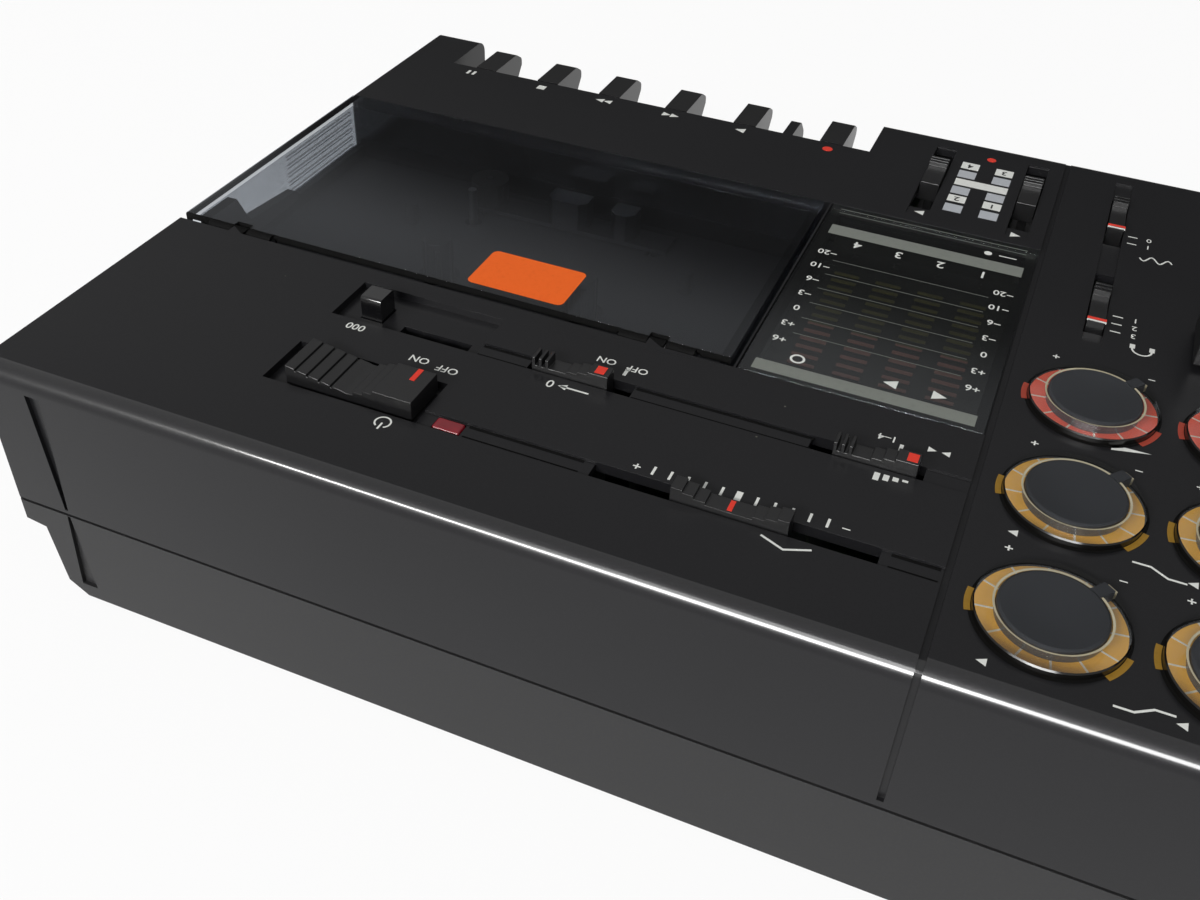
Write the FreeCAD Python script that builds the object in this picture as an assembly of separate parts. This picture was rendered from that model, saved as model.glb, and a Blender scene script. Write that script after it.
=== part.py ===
"""A four track cassette recorder: a mixer with knobs and faders, and a tape deck under a clear lid.

Millimetres. X runs to the right and Y to the rear as the user sees it, Z runs up, and the origin lies
on the floor under the middle of the case. The panel is laid out from the rear edge forwards, and the
case takes its size from what the panel has to hold.
"""

import FreeCAD
import Part

import math
import os
from dataclasses import dataclass

V = FreeCAD.Vector
X_AXIS, Y_AXIS, Z_AXIS = V(1, 0, 0), V(0, 1, 0), V(0, 0, 1)

# ---- case ----------------------------------------------------------------------------------------
WALL = 2.5
PANEL = 2.5
GROUND_GAP = 1.4
LOWER_HEIGHT = 27.9
UPPER_HEIGHT = 38.7
EDGE_ROUND = 4.0            # front and rear edges of the panel
END_BEVEL = 1.0             # edges of the two ends
LINE_GAP = 0.8              # the shadow line between the case halves
GRIP_DEPTH = 6.5            # how far the lower case is set in under each end
GRIP_LIP = 6.5
GRIP_TAPER = 2.0
BOTTOM_CHAMFER = 5.0
FIT = 0.3                   # play between pieces that move past each other
RUNNING = 0.06              # radial play of a shaft in its hole
STEP = 2.0                  # ribs, ledges and thin inner walls
SIDES, FEW_SIDES = 18, 12   # flats on a round shape that repeats or is hidden: large, small

# ---- mixer: six columns of three knobs with five faders in front of them -------------------------
COLUMNS = 6
COLUMN_PITCH = 33.0
FIRST_COLUMN = 19.7         # from the middle groove to the first knob column
KNOB_ROWS = 3
ROW_PITCH = 34.7
REAR_TO_KNOBS = 22.0
KNOB_SKIRT_R = 14.0
KNOB_BEVEL = 1.5
KNOB_CAP_R = 10.0
KNOB_SKIRT_H = 1.8
KNOB_CAP_H = 3.0
KNOB_EDGE = 0.8
KNOB_GAP = 0.6              # skirt to panel
POINTER_WIDTH, POINTER_RISE, POINTER_BEARING = 2.4, 0.8, 230.0
SHAFT_WIDTH = 4.0
SHAFT_HOLE_R = 3.2
KNOBS_TO_FADERS = 33.6      # last knob row to a fader at its top mark
FADER_TRAVEL = 60.0
FADERS_TO_FRONT = 27.0
FADER_SLOT = 2.6
CAP_WIDTH, CAP_LENGTH, CAP_HEIGHT = 28.0, 18.0, 14.0
CAP_DISH = 2.0
MIXER_END = 21.3            # last knob column to the end of the case

# ---- deck panel, laid out from the rear edge -----------------------------------------------------
REAR_TO_PITCH = 25.1
PITCH_TO_METER = 27.4
METER_TO_WELL = 18.3
LID_LENGTH = 80.5
WELL_TO_NOTCH = 35.3
NOTCH_DEPTH = 21.7
REAR_GAP = 3.2              # open strip behind the lid for its hinge
EDGE_GAP = 0.5

GROOVE_WIDTH, GROOVE_DEPTH, GROOVE_DROP = 1.4, 1.0, 37.0
BAND_DEPTH = 0.5            # shallow bands that the sliders run in
BAND_WIDTH = 4.6
BAND_END = 110.0

METER_WIDTH = 55.4
METER_THICK = 1.6
METER_LEDGE = 3.0
LED_COLUMNS, LED_ROWS = 4, 13
LED_FIRST_X, LED_PITCH_X, LED_PITCH_Y = 11.6, 10.7, 3.57
LED_LENGTH, LED_WIDTH, LED_HEIGHT = 6.2, 1.2, 3.0
LED_SHIFT = 6.6             # bars behind the middle of the window

LAMP_X, LAMP_LENGTH, LAMP_WIDTH = 103.0, 6.6, 3.8

TRAY_LEFT, TRAY_LENGTH, TRAY_WIDTH, TRAY_DEPTH = 109.8, 37.2, 14.8, 1.8
POWER_FROM_PITCH = 5.0      # power tray centre in front of the pitch row
COUNTER_FROM_METER = 5.1    # counter tray centre in front of the meter row
WHEEL_R, WHEEL_WIDTH, WHEEL_PITCH, WHEELS = 5.0, 4.9, 5.5, 3
WHEEL_FIRST_X = 116.2
AXLE_R = 1.2
WINDOW_LENGTH, WINDOW_WIDTH = 17.5, 4.2
RESET_X, RESET_LENGTH, RESET_WIDTH, RESET_HEIGHT = 138.6, 5.3, 6.0, 4.0

STEPS, STEP_TREAD = 3, 2.4  # stepped end of a slider
RIB_COUNT, RIB_TREAD = 3, 0.8
RAMP_GROOVES, RAMP_PITCH, RAMP_GROOVE = 4, 2.9, 0.5

# ---- cassette lid and well -----------------------------------------------------------------------
METER_TO_LID = 2.1          # strip of the case between window and lid
LID_LEFT = METER_WIDTH + METER_TO_LID
LID_THICK = 2.0
LID_EDGE = 1.0              # round along the top right edge
SKIRT_DEPTH = 16.0          # right skirt, which stands in for the case's side wall
INNER_SKIRT = 12.0
SKIRT_INSET = 1.0           # front and left skirts behind the edge of the top
RIBS, RIB_PITCH, RIB_HEIGHT, RIB_LENGTH, RIB_PROUD = 5, 2.6, 1.0, 34.0, 0.6
RIB_FOOT = 1.6              # lowest rib above the skirt's foot
BRACKET_THICK = 3.0
HINGE_R = 1.9
HINGE_PIN_R = 1.0
HINGE_EAR = 4.0
HINGE_INSET = 17.5          # hinge ear to the lid's end
BARREL_LENGTH = 7.0
WELL_DEPTH = 20.0
DECK_THICK = 2.0

# ---- tape transport ------------------------------------------------------------------------------
TAPE_X = 128.0              # middle of the cassette
REEL_SPACING = 42.5
REEL_FROM_WELL = 51.0       # reels behind the front wall of the well
CAPSTAN_OFFSET = 26.0
CAPSTAN_FROM_REELS = 29.6
REEL_HUB_R, REEL_HUB_H, REEL_GEAR_R, REEL_GEAR_H, REEL_FIN = 4.6, 11.0, 15.0, 5.0, 1.0
REEL_PIN_R = 1.5
CAPSTAN_R, FLYWHEEL_R, FLYWHEEL_H = 1.25, 24.0, 5.0
FRAME_DROP = 10.5           # deck plate underside to transport frame top
FRAME_THICK = 1.5
FLYWHEEL_DROP = 19.0        # frame underside to flywheel top
MOTOR_R, MOTOR_X, MOTOR_SHAFT_R, PULLEY_R = 14.0, 92.0, 1.0, 4.0
BELT_THICK, BELT_HEIGHT = 1.0, 2.0
PINCH_R, PINCH_H = 5.5, 7.0
BRIDGE_TRAVEL = 4.0
BRIDGE_WIDTH, BRIDGE_LENGTH, BRIDGE_THICK = 62.0, 9.0, 1.2
HEAD_WIDTH, HEAD_DEPTH, HEAD_HEIGHT = 12.0, 7.0, 8.0
REST_POST_R, REST_POST_SPACING, REST_POST_H = 2.0, 84.0, 6.0
BRIDGE_PIN_R = 1.0

# ---- transport keys ------------------------------------------------------------------------------
KEYS = ["record", "play", "rewind", "forward", "stop", "pause"]
KEY_X = {"record": 65.2, "play": 92.0, "rewind": 114.0, "forward": 136.0, "stop": 157.0, "pause": 178.5}
KEY_WIDTH = 7.0
KEY_REACH = 19.2            # notch edge to key tip
KEY_NOSE, KEY_UNDERCUT, KEY_STEM, KEY_ROUND = 4.6, 4.0, 17.0, 4.0
KEY_PIVOT_BACK = 26.3       # notch edge to key shaft
KEY_PIVOT_DROP = 10.0
KEY_BOSS_R, KEY_SHAFT_R = 4.0, 2.0
NOTCH_HEIGHT = 28.0
NOTCH_MARGIN = 11.5         # outer key centre to the notch's side
GUARD_X, GUARD_WIDTH, GUARD_REACH = 78.5, 3.0, 15.0
KEYS_TO_END = 16.0          # notch side to the end of the case

# ---- sockets -------------------------------------------------------------------------------------
JACK_SIZE, JACK_DEPTH, JACK_BORE_R = 14.0, 22.0, 3.25
JACK_RISE = 5.7             # parting line to the sockets' underside
PHONO_R, PHONO_BORE_R, PHONO_DEPTH = 4.15, 1.6, 9.0
INLET_BORE_R, INLET_PIN_R = 2.75, 1.0
PHONO_X = [-150.0, -131.0]
INLET_X = -192.0

# ---- boards, screws and feet ---------------------------------------------------------------------
BOARD_THICK = 1.6
BOARD_EDGE = 3.5            # case wall to board
POT_SIZE, POT_HEIGHT = 12.0, 7.0
SWITCH_HEIGHT = 6.0
SCREW_R, SCREW_HEAD_R, SCREW_HEAD_H, SCREW_BITE = 1.5, 3.0, 2.2, 7.0
BOSS = 10.0
FOOT_LENGTH, FOOT_WIDTH, FOOT_SINK, FOOT_CORNER = 26.0, 12.0, 1.0, 3.0
FOOT_INSET_X, FOOT_INSET_Y = 60.0, 20.0

# ---- places worked out from the sizes above ------------------------------------------------------
DEPTH = max(
    REAR_TO_KNOBS + (KNOB_ROWS - 1) * ROW_PITCH + KNOBS_TO_FADERS + FADER_TRAVEL + FADERS_TO_FRONT,
    REAR_TO_PITCH + PITCH_TO_METER + METER_TO_WELL + REAR_GAP + LID_LENGTH + EDGE_GAP
    + WELL_TO_NOTCH + NOTCH_DEPTH,
)
NOTCH_LEFT = min(KEY_X.values()) - NOTCH_MARGIN
NOTCH_RIGHT = max(KEY_X.values()) + NOTCH_MARGIN
HALF = max(FIRST_COLUMN + (COLUMNS - 1) * COLUMN_PITCH + MIXER_END, NOTCH_RIGHT + KEYS_TO_END)
REAR, FRONT = DEPTH / 2, -DEPTH / 2
BASE = GROUND_GAP
PARTING = BASE + LOWER_HEIGHT
TOP = PARTING + UPPER_HEIGHT
UNDER = TOP - PANEL         # underside of the panel

COLUMN_XS = [-FIRST_COLUMN - i * COLUMN_PITCH for i in reversed(range(COLUMNS))]
ROW_YS = [REAR - REAR_TO_KNOBS - i * ROW_PITCH for i in range(KNOB_ROWS)]
FADER_TOP_Y = ROW_YS[-1] - KNOBS_TO_FADERS
FADER_XS = COLUMN_XS[:-1]

PITCH_Y = REAR - REAR_TO_PITCH
METER_Y = PITCH_Y - PITCH_TO_METER
WELL_REAR = METER_Y - METER_TO_WELL
LID_REAR = WELL_REAR - REAR_GAP
LID_FRONT = LID_REAR - LID_LENGTH
WELL_FRONT = LID_FRONT - EDGE_GAP
NOTCH_REAR = WELL_FRONT - WELL_TO_NOTCH
NOTCH_FLOOR = TOP - NOTCH_HEIGHT
WELL_LEFT = LID_LEFT - REAR_GAP / 2
SIDE_WALL_TOP = TOP - SKIRT_DEPTH - EDGE_GAP
HINGE_Y, HINGE_Z = LID_REAR + 0.6, TOP - LID_THICK
HINGE_XS = [LID_LEFT + HINGE_INSET, HALF - HINGE_INSET]

DECK_TOP = TOP - WELL_DEPTH
DECK_UNDER = DECK_TOP - DECK_THICK
FRAME_TOP = DECK_UNDER - FRAME_DROP
FRAME_UNDER = FRAME_TOP - FRAME_THICK
FLYWHEEL_TOP = FRAME_UNDER - FLYWHEEL_DROP
REEL_Y = WELL_FRONT + REEL_FROM_WELL
REEL_XS = [TAPE_X - REEL_SPACING / 2, TAPE_X + REEL_SPACING / 2]
CAPSTAN_X, CAPSTAN_Y = TAPE_X + CAPSTAN_OFFSET, REEL_Y - CAPSTAN_FROM_REELS
MOTOR_Y = CAPSTAN_Y + 8.0
PINCH_Y = CAPSTAN_Y - CAPSTAN_R - PINCH_R - FIT - BRIDGE_TRAVEL
KEY_PIVOT_Y, KEY_PIVOT_Z = NOTCH_REAR + KEY_PIVOT_BACK, TOP - KEY_PIVOT_DROP

JACK_BOTTOM = PARTING + JACK_RISE
BOARD_UNDER = JACK_BOTTOM + JACK_SIZE + 1.0
BOARD_TOP = BOARD_UNDER + BOARD_THICK
COUNTER_Y = METER_Y - COUNTER_FROM_METER
POWER_Y = PITCH_Y - POWER_FROM_PITCH
WINDOW_Y = COUNTER_Y + TRAY_WIDTH / 2 - WINDOW_WIDTH / 2 - 0.6
RESET_Y = COUNTER_Y + 0.7
WHEEL_Z = TOP - TRAY_DEPTH - STEP - WHEEL_R - FIT
SOCKET_XS = COLUMN_XS
SCREW_XS = [COLUMN_XS[0] + COLUMN_PITCH / 2, -FIRST_COLUMN - COLUMN_PITCH / 2, HALF - 20.0]
SCREW_YS = [FRONT + 14.0, REAR - 16.0]


@dataclass
class Slider:
    """A slider: its centre at rest, the axis it runs along, its size, how far it moves, and its two ends."""

    x: float
    y: float
    runs_along: str
    length: float
    width: float
    back: float             # travel towards minus
    ahead: float            # travel towards plus
    minus_end: str = "steps"
    plus_end: str = "steps"
    crest: float = 3.2      # height of its ends
    waist: float = 1.2      # height of its middle
    tray: float = 0.0       # depth of the tray it sits in

    def span(self, margin=0.0):
        """The x and y limits that it sweeps, with a margin at each end."""
        half = self.length / 2 + margin
        side = self.width / 2 + FIT
        if self.runs_along == "x":
            return (self.x - half - self.back, self.x + half + self.ahead, self.y - side, self.y + side)
        return (self.x - side, self.x + side, self.y - half - self.back, self.y + half + self.ahead)


SLOT_WIDTH = BAND_WIDTH - 2 * FIT
SIDE_SLIDER_X = -16.75
RECORD_Y = WELL_FRONT - 28.5
SLIDERS = {
    "pitch": Slider(41.3, PITCH_Y, "x", 24.0, SLOT_WIDTH, 16.0, 16.0),
    "meter": Slider(19.2, METER_Y, "x", 17.5, SLOT_WIDTH, 0.0, 3.7, "block", "ribs"),
    "zero": Slider(87.0, METER_Y, "x", 18.0, SLOT_WIDTH, 3.7, 0.0, "block", "ribs"),
    "power": Slider(126.7, POWER_Y, "x", 30.8, 11.5, 0.0, 4.0, "terrace", "ramp", 5.2, 2.6, TRAY_DEPTH),
    "monitor": Slider(
        SIDE_SLIDER_X, ROW_YS[-1] - 41.1, "y", 19.0, SLOT_WIDTH, 7.2, 0.0, "ribs", "block", 2.0, 0.6
    ),
    "noise": Slider(
        SIDE_SLIDER_X, ROW_YS[-1] - 90.4, "y", 19.6, SLOT_WIDTH, 0.0, 3.8, "ribs", "block", 2.0, 0.6
    ),
    "record_left": Slider(7.0, RECORD_Y, "y", 15.0, 5.2, 10.6, 10.6, "ribs", "plain", 2.6, 1.4),
    "record_right": Slider(33.4, RECORD_Y, "y", 15.0, 5.2, 10.6, 10.6, "ribs", "plain", 2.6, 1.4),
}


# ---- building blocks -----------------------------------------------------------------------------
def block(x0, x1, y0, y1, z0, z1):
    """A box between two values on each axis."""
    return Part.makeBox(x1 - x0, y1 - y0, z1 - z0, V(x0, y0, z0))


def pillar(x, y, width, length, z0, z1):
    """A box centred on x and y."""
    return block(x - width / 2, x + width / 2, y - length / 2, y + length / 2, z0, z1)


def rod(radius, start, end):
    """A round bar from one point to another."""
    way = end.sub(start)
    return Part.makeCylinder(radius, way.Length, start, way)


def upright(radius, x, y, z0, z1):
    return rod(radius, V(x, y, z0), V(x, y, z1))


def ring_of_points(radius, centre, way, sides):
    """The corners of a regular outline round a centre, square to a way, with a flat to each side."""
    side = V(0, 0, 1) if abs(way.z) < 0.5 * way.Length else V(1, 0, 0)
    across = way.cross(side).normalize()
    up = V(way).normalize().cross(across)
    turns = [2 * math.pi * (i + 0.5) / sides for i in range(sides)]
    return [centre + across * (radius * math.cos(t)) + up * (radius * math.sin(t)) for t in turns]


def bar(radius, start, end, sides=FEW_SIDES):
    """A bar with many flat sides whose corners lie on the radius."""
    way = end.sub(start)
    return prism(ring_of_points(radius, start, way, sides), way)


def upright_bar(radius, x, y, z0, z1, sides=FEW_SIDES):
    return bar(radius, V(x, y, z0), V(x, y, z1), sides)


def hole(radius, start, end, sides=FEW_SIDES):
    """Like a bar, with its flats on the radius, so that a bar of that radius goes in."""
    return bar(radius / math.cos(math.pi / sides), start, end, sides)


def upright_hole(radius, x, y, z0, z1, sides=FEW_SIDES):
    return hole(radius, V(x, y, z0), V(x, y, z1), sides)


def frustum(low_r, high_r, x, y, z0, z1, sides=SIDES):
    """A many-sided cone piece between two radii."""
    low = ring_of_points(low_r, V(x, y, z0), Z_AXIS, sides)
    high = ring_of_points(high_r, V(x, y, z1), Z_AXIS, sides)
    outlines = [low, high]
    for i in range(sides):
        outlines.append([low[i - 1], low[i], high[i], high[i - 1]])
    faces = [Part.Face(Part.makePolygon(corners + [corners[0]])) for corners in outlines]
    return Part.Solid(Part.Shell(faces))


def prism(corners, way):
    """A flat outline pushed along a vector."""
    return Part.Face(Part.makePolygon(corners + [corners[0]])).extrude(way)


def side_prism(corners, x0, x1):
    """An outline of (y, z) points pushed from x0 to x1."""
    return prism([V(x0, y, z) for y, z in corners], V(x1 - x0, 0, 0))


def end_prism(corners, y0, y1):
    """An outline of (x, z) points pushed from y0 to y1."""
    return prism([V(x, y0, z) for x, z in corners], V(0, y1 - y0, 0))


def runs_along(edge, axis):
    if edge.Curve.TypeId != "Part::GeomLine":
        return False
    way = edge.Vertexes[-1].Point.sub(edge.Vertexes[0].Point)
    return abs(way.normalize().dot(axis)) > 0.999


def chosen_edges(solid, axis, chosen):
    return [edge for edge in solid.Edges if runs_along(edge, axis) and chosen(edge.CenterOfMass)]


def rounded(solid, radius, axis, chosen):
    """Fillets on the straight edges along an axis whose middle passes the test."""
    return solid.makeFillet(radius, chosen_edges(solid, axis, chosen))


def chamfered(solid, size, axis, chosen):
    return solid.makeChamfer(size, chosen_edges(solid, axis, chosen))


def joined(first, *others):
    return first.fuse(list(others)).removeSplitter()


def save(name, *solids):
    """One sub-part as one file; pieces that don't touch stay separate solids."""
    shape = solids[0] if len(solids) == 1 else Part.makeCompound(list(solids))
    shape.exportStep(f"parts/{name}.step")


# ---- case ----------------------------------------------------------------------------------------
def tray(x0, x1, y):
    """A shallow tray in the panel: the pad that carries it and the space inside it."""
    half = TRAY_WIDTH / 2
    pad = block(x0 - STEP, x1 + STEP, y - half - STEP, y + half + STEP, UNDER - STEP, UNDER)
    space = block(x0, x1, y - half, y + half, TOP - TRAY_DEPTH, TOP + 1)
    return pad, space


def well_walls():
    """The walls round the cassette well, from the panel down to the deck plate."""
    outer = block(WELL_LEFT - STEP, HALF - WALL, WELL_FRONT - STEP, WELL_REAR + STEP, DECK_UNDER, UNDER)
    inner = block(WELL_LEFT, HALF, WELL_FRONT, WELL_REAR, DECK_UNDER - 1, UNDER + 1)
    return outer.cut(inner)


def hinge_ears():
    """Two ears on the rear wall of the well that hold the lid's pins."""
    ears = []
    for x in HINGE_XS:
        x0, x1 = x - HINGE_EAR / 2, x + HINGE_EAR / 2
        ear = bar(HINGE_R, V(x0, HINGE_Y, HINGE_Z), V(x1, HINGE_Y, HINGE_Z))
        arm = block(x0, x1, HINGE_Y, WELL_REAR + STEP, HINGE_Z - HINGE_R, HINGE_Z + HINGE_R)
        eye = hole(HINGE_PIN_R, V(x0, HINGE_Y, HINGE_Z), V(x1, HINGE_Y, HINGE_Z))
        ears.append(joined(ear, arm).cut(eye))
    return ears


def key_tub():
    """Floor, sides and rear wall of the notch that the keys stand in."""
    return block(
        NOTCH_LEFT - STEP, NOTCH_RIGHT + STEP, FRONT + WALL, NOTCH_REAR + STEP, NOTCH_FLOOR - STEP, UNDER
    )


def key_guard():
    """The fixed finger that keeps the record key from being pressed with its neighbour."""
    outline = [
        (NOTCH_REAR, TOP), (NOTCH_REAR - GUARD_REACH + 5, TOP), (NOTCH_REAR - GUARD_REACH, TOP - 5),
        (NOTCH_REAR - GUARD_REACH + 1, TOP - KEY_STEM), (NOTCH_REAR, TOP - KEY_STEM),
    ]
    guard = side_prism(outline, GUARD_X - GUARD_WIDTH / 2, GUARD_X + GUARD_WIDTH / 2)
    return rounded(guard, 3.0, X_AXIS, lambda p: p.y < NOTCH_REAR - 1 and p.z > TOP - 6)


def key_openings():
    """The notch itself and the slots in its rear wall that the key levers pass through."""
    yield block(NOTCH_LEFT, NOTCH_RIGHT, FRONT - 1, NOTCH_REAR, NOTCH_FLOOR, TOP + 1)
    for x in KEY_X.values():
        yield pillar(x, NOTCH_REAR + STEP / 2, KEY_WIDTH + 1, STEP + 1, NOTCH_FLOOR + STEP, UNDER)


def screw_bosses(z0, z1):
    """Square bosses against the front and rear walls, one at each case screw."""
    for x in SCREW_XS:
        for y, wall in zip(SCREW_YS, (FRONT + WALL / 2, REAR - WALL / 2)):
            inner = y - math.copysign(BOSS / 2, wall)
            yield block(x - BOSS / 2, x + BOSS / 2, min(inner, wall), max(inner, wall), z0, z1)


def middle_groove():
    """The groove between deck and mixer: along the panel, over the rear edge and down the rear face."""
    yield block(-GROOVE_WIDTH, 0, FRONT - 1, REAR + 1, TOP - GROOVE_DEPTH, TOP + 1)
    yield block(-GROOVE_WIDTH, 0, REAR - GROOVE_DEPTH, REAR + 1, TOP - GROOVE_DROP, TOP + 1)


def corner_wedges(z_narrow, z_wide, width):
    """Tapering grooves on the rear face near both ends, narrow at the parting line."""
    for side in (-1, 1):
        x = side * (HALF - 15.0)
        corners = [(x - 0.4, z_narrow), (x + 0.4, z_narrow), (x + width / 2, z_wide), (x - width / 2, z_wide)]
        yield end_prism(corners, REAR - GROOVE_DEPTH, REAR + 1)


def board_posts():
    """Posts that hang the circuit boards from the panel."""
    spots = [(x + COLUMN_PITCH / 2, y + ROW_PITCH / 2) for x in COLUMN_XS[:-1:2] for y in ROW_YS[1:]]
    spots += [(x + COLUMN_PITCH / 2, FRONT + 24.0) for x in COLUMN_XS[1:-1:2]]
    spots += [(4.0, METER_Y + 12.0), (70.0, METER_Y + 14.0), (20.2, WELL_FRONT - 24.0)]
    for x, y in spots:
        yield pillar(x, y, 4.0, 4.0, BOARD_TOP, UNDER)


def counter_cheeks():
    """Two cheeks under the counter tray that hold the axle of the counter wheels."""
    first = WHEEL_FIRST_X - WHEEL_PITCH / 2 - STEP
    last = WHEEL_FIRST_X + (WHEELS - 0.5) * WHEEL_PITCH
    for x in (first, last):
        cheek = pillar(x + STEP / 2, WINDOW_Y, STEP, 6.0, WHEEL_Z - 3.0, UNDER)
        yield cheek.cut(hole(AXLE_R, V(x, WINDOW_Y, WHEEL_Z), V(x + STEP, WINDOW_Y, WHEEL_Z)))


def upper_case():
    shell = block(-HALF, HALF, FRONT, REAR, PARTING, TOP)
    shell = rounded(shell, EDGE_ROUND, X_AXIS, lambda p: p.z > TOP - 1)
    ends = [e for e in shell.Edges if abs(e.CenterOfMass.x) > HALF - 0.01 and e.CenterOfMass.z > PARTING + 1]
    shell = shell.makeChamfer(END_BEVEL, ends)
    shell = shell.cut(block(-HALF + WALL, HALF - WALL, FRONT + WALL, REAR - WALL, PARTING - 1, UNDER))

    power_pad, power_tray = tray(TRAY_LEFT, TRAY_LEFT + TRAY_LENGTH, POWER_Y)
    counter_pad, counter_tray = tray(TRAY_LEFT, TRAY_LEFT + TRAY_LENGTH, COUNTER_Y)
    meter_pad = block(-STEP, METER_WIDTH, WELL_FRONT - STEP, WELL_REAR + STEP, UNDER - STEP, UNDER)
    shell = joined(
        shell, well_walls(), key_tub(), power_pad, counter_pad, meter_pad,
        *screw_bosses(PARTING, PARTING + SCREW_BITE + STEP), *board_posts(), *counter_cheeks(),
    )

    ledge = METER_LEDGE
    openings = [
        power_tray, counter_tray,
        block(0, METER_WIDTH, WELL_FRONT, WELL_REAR, TOP - METER_THICK, TOP + 1),
        block(ledge, METER_WIDTH - ledge, WELL_FRONT + ledge, WELL_REAR - ledge, UNDER - STEP - 1, TOP),
        block(WELL_LEFT, HALF - WALL, WELL_FRONT, WELL_REAR, UNDER - 1, TOP + 1),
        block(HALF - WALL - 1, HALF + 1, WELL_FRONT, LID_REAR + EDGE_GAP, SIDE_WALL_TOP, TOP + 1),
        block(HALF - WALL - 1, HALF + 1, LID_REAR, WELL_REAR, TOP - LID_THICK - HINGE_R, TOP + 1),
        block(0, BAND_END, PITCH_Y - BAND_WIDTH / 2, PITCH_Y + BAND_WIDTH / 2, TOP - BAND_DEPTH, TOP + 1),
        block(0, BAND_END, METER_Y - BAND_WIDTH / 2, METER_Y + BAND_WIDTH / 2, TOP - BAND_DEPTH, TOP + 1),
        pillar(LAMP_X, PITCH_Y, LAMP_LENGTH, LAMP_WIDTH, UNDER - 1, TOP),
        pillar(WHEEL_FIRST_X + WHEEL_PITCH, WINDOW_Y, WINDOW_LENGTH, WINDOW_WIDTH, UNDER - STEP - 1, TOP),
        pillar(RESET_X, RESET_Y, RESET_LENGTH + 2 * FIT, RESET_WIDTH + 2 * FIT, UNDER - STEP - 1, TOP),
        *middle_groove(), *key_openings(),
        *corner_wedges(PARTING + 1, TOP - 5, 4.0),
    ]
    bands = ["monitor", "record_left", "record_right"]
    front_end = FRONT + 8.5
    for name in bands:
        x0, x1, _, y1 = SLIDERS[name].span(6.0)
        openings.append(block(x0, x1, front_end, y1, TOP - BAND_DEPTH, TOP + 1))
    for name, slider in SLIDERS.items():
        if name == "power":
            openings.append(pillar(slider.x + slider.ahead / 2, slider.y, 16.0, 4.0, UNDER - STEP - 1, TOP))
        else:
            x0, x1, y0, y1 = slider.span(1.4)
            openings.append(block(x0, x1, y0, y1, UNDER - 1, TOP))
    for x in COLUMN_XS:
        for y in ROW_YS:
            openings.append(upright(SHAFT_HOLE_R, x, y, UNDER - 1, TOP + 1))
    for x in FADER_XS:
        y0, y1 = FADER_TOP_Y - FADER_TRAVEL - 6.0, FADER_TOP_Y + 6.0
        openings.append(block(x - FADER_SLOT / 2, x + FADER_SLOT / 2, y0, y1, UNDER - 1, TOP + 1))
    for x in SOCKET_XS:
        openings.append(pillar(x, FRONT, JACK_SIZE, 3 * WALL, JACK_BOTTOM, JACK_BOTTOM + JACK_SIZE))
    for x in PHONO_X + [INLET_X]:
        openings.append(pillar(x, REAR, JACK_SIZE, 3 * WALL, JACK_BOTTOM, JACK_BOTTOM + JACK_SIZE))
    for x in SCREW_XS:
        for y in SCREW_YS:
            openings.append(upright_hole(SCREW_R, x, y, PARTING - 1, PARTING + SCREW_BITE))
    shell = shell.cut(openings)
    return joined(shell, key_guard(), *hinge_ears())


def lower_outline(inset):
    """The end view of the lower case: a lip at the parting line, set in below it, chamfered at the foot."""
    lip_z = PARTING - GRIP_LIP + inset * 0.4
    waist = HALF - GRIP_DEPTH - inset
    foot = waist - GRIP_TAPER
    top = PARTING + (1.0 if inset else 0.0)
    right = [
        (HALF - inset, top), (HALF - inset, lip_z), (waist, lip_z - 1.0),
        (foot, BASE + BOTTOM_CHAMFER * 0.7), (foot - BOTTOM_CHAMFER, BASE + inset),
    ]
    return right + [(-x, z) for x, z in reversed(right)]


def frame_posts():
    """Where the transport frame stands on the floor of the case."""
    return [(x, y) for x in (TAPE_X - 54.0, TAPE_X + 54.0) for y in (KEY_PIVOT_Y - 12.0, LID_REAR - 4.0)]


def lower_case():
    tub = end_prism(lower_outline(0.0), FRONT, REAR)
    tub = chamfered(tub, END_BEVEL, Z_AXIS, lambda p: abs(p.x) > HALF - 1)
    tub = tub.cut(end_prism(lower_outline(WALL), FRONT + WALL, REAR - WALL))
    line = block(-HALF - 1, HALF + 1, FRONT - 1, REAR + 1, PARTING - LINE_GAP, PARTING + 1).cut(
        block(-HALF + LINE_GAP, HALF - LINE_GAP, FRONT + LINE_GAP, REAR - LINE_GAP, BASE, TOP)
    )
    posts = [upright_bar(4.0, x, y, BASE + WALL, FRAME_UNDER) for x, y in frame_posts()]
    tub = joined(tub, *screw_bosses(BASE + 1, PARTING), *posts)
    holes = [line, *corner_wedges(PARTING - 1, BASE + 4.0, 4.5)]
    for x in SCREW_XS:
        for y in SCREW_YS:
            holes.append(upright_hole(SCREW_R + FIT, x, y, BASE - 1, PARTING + 1))
            holes.append(upright_hole(SCREW_HEAD_R + FIT, x, y, BASE - 1, BASE + SCREW_HEAD_H + FIT))
    for x, y in foot_spots():
        holes.append(pillar(x, y, FOOT_LENGTH + 0.4, FOOT_WIDTH + 0.4, BASE - 1, BASE + FOOT_SINK))
    return tub.cut(holes)


def foot_spots():
    return [(sx * (HALF - FOOT_INSET_X), sy * (REAR - FOOT_INSET_Y)) for sx in (-1, 1) for sy in (-1, 1)]


def rubber_feet():
    feet = []
    for x, y in foot_spots():
        foot = pillar(x, y, FOOT_LENGTH, FOOT_WIDTH, 0, BASE + FOOT_SINK)
        feet.append(chamfered(foot, FOOT_CORNER, Z_AXIS, lambda p: True))
    return feet


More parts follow.
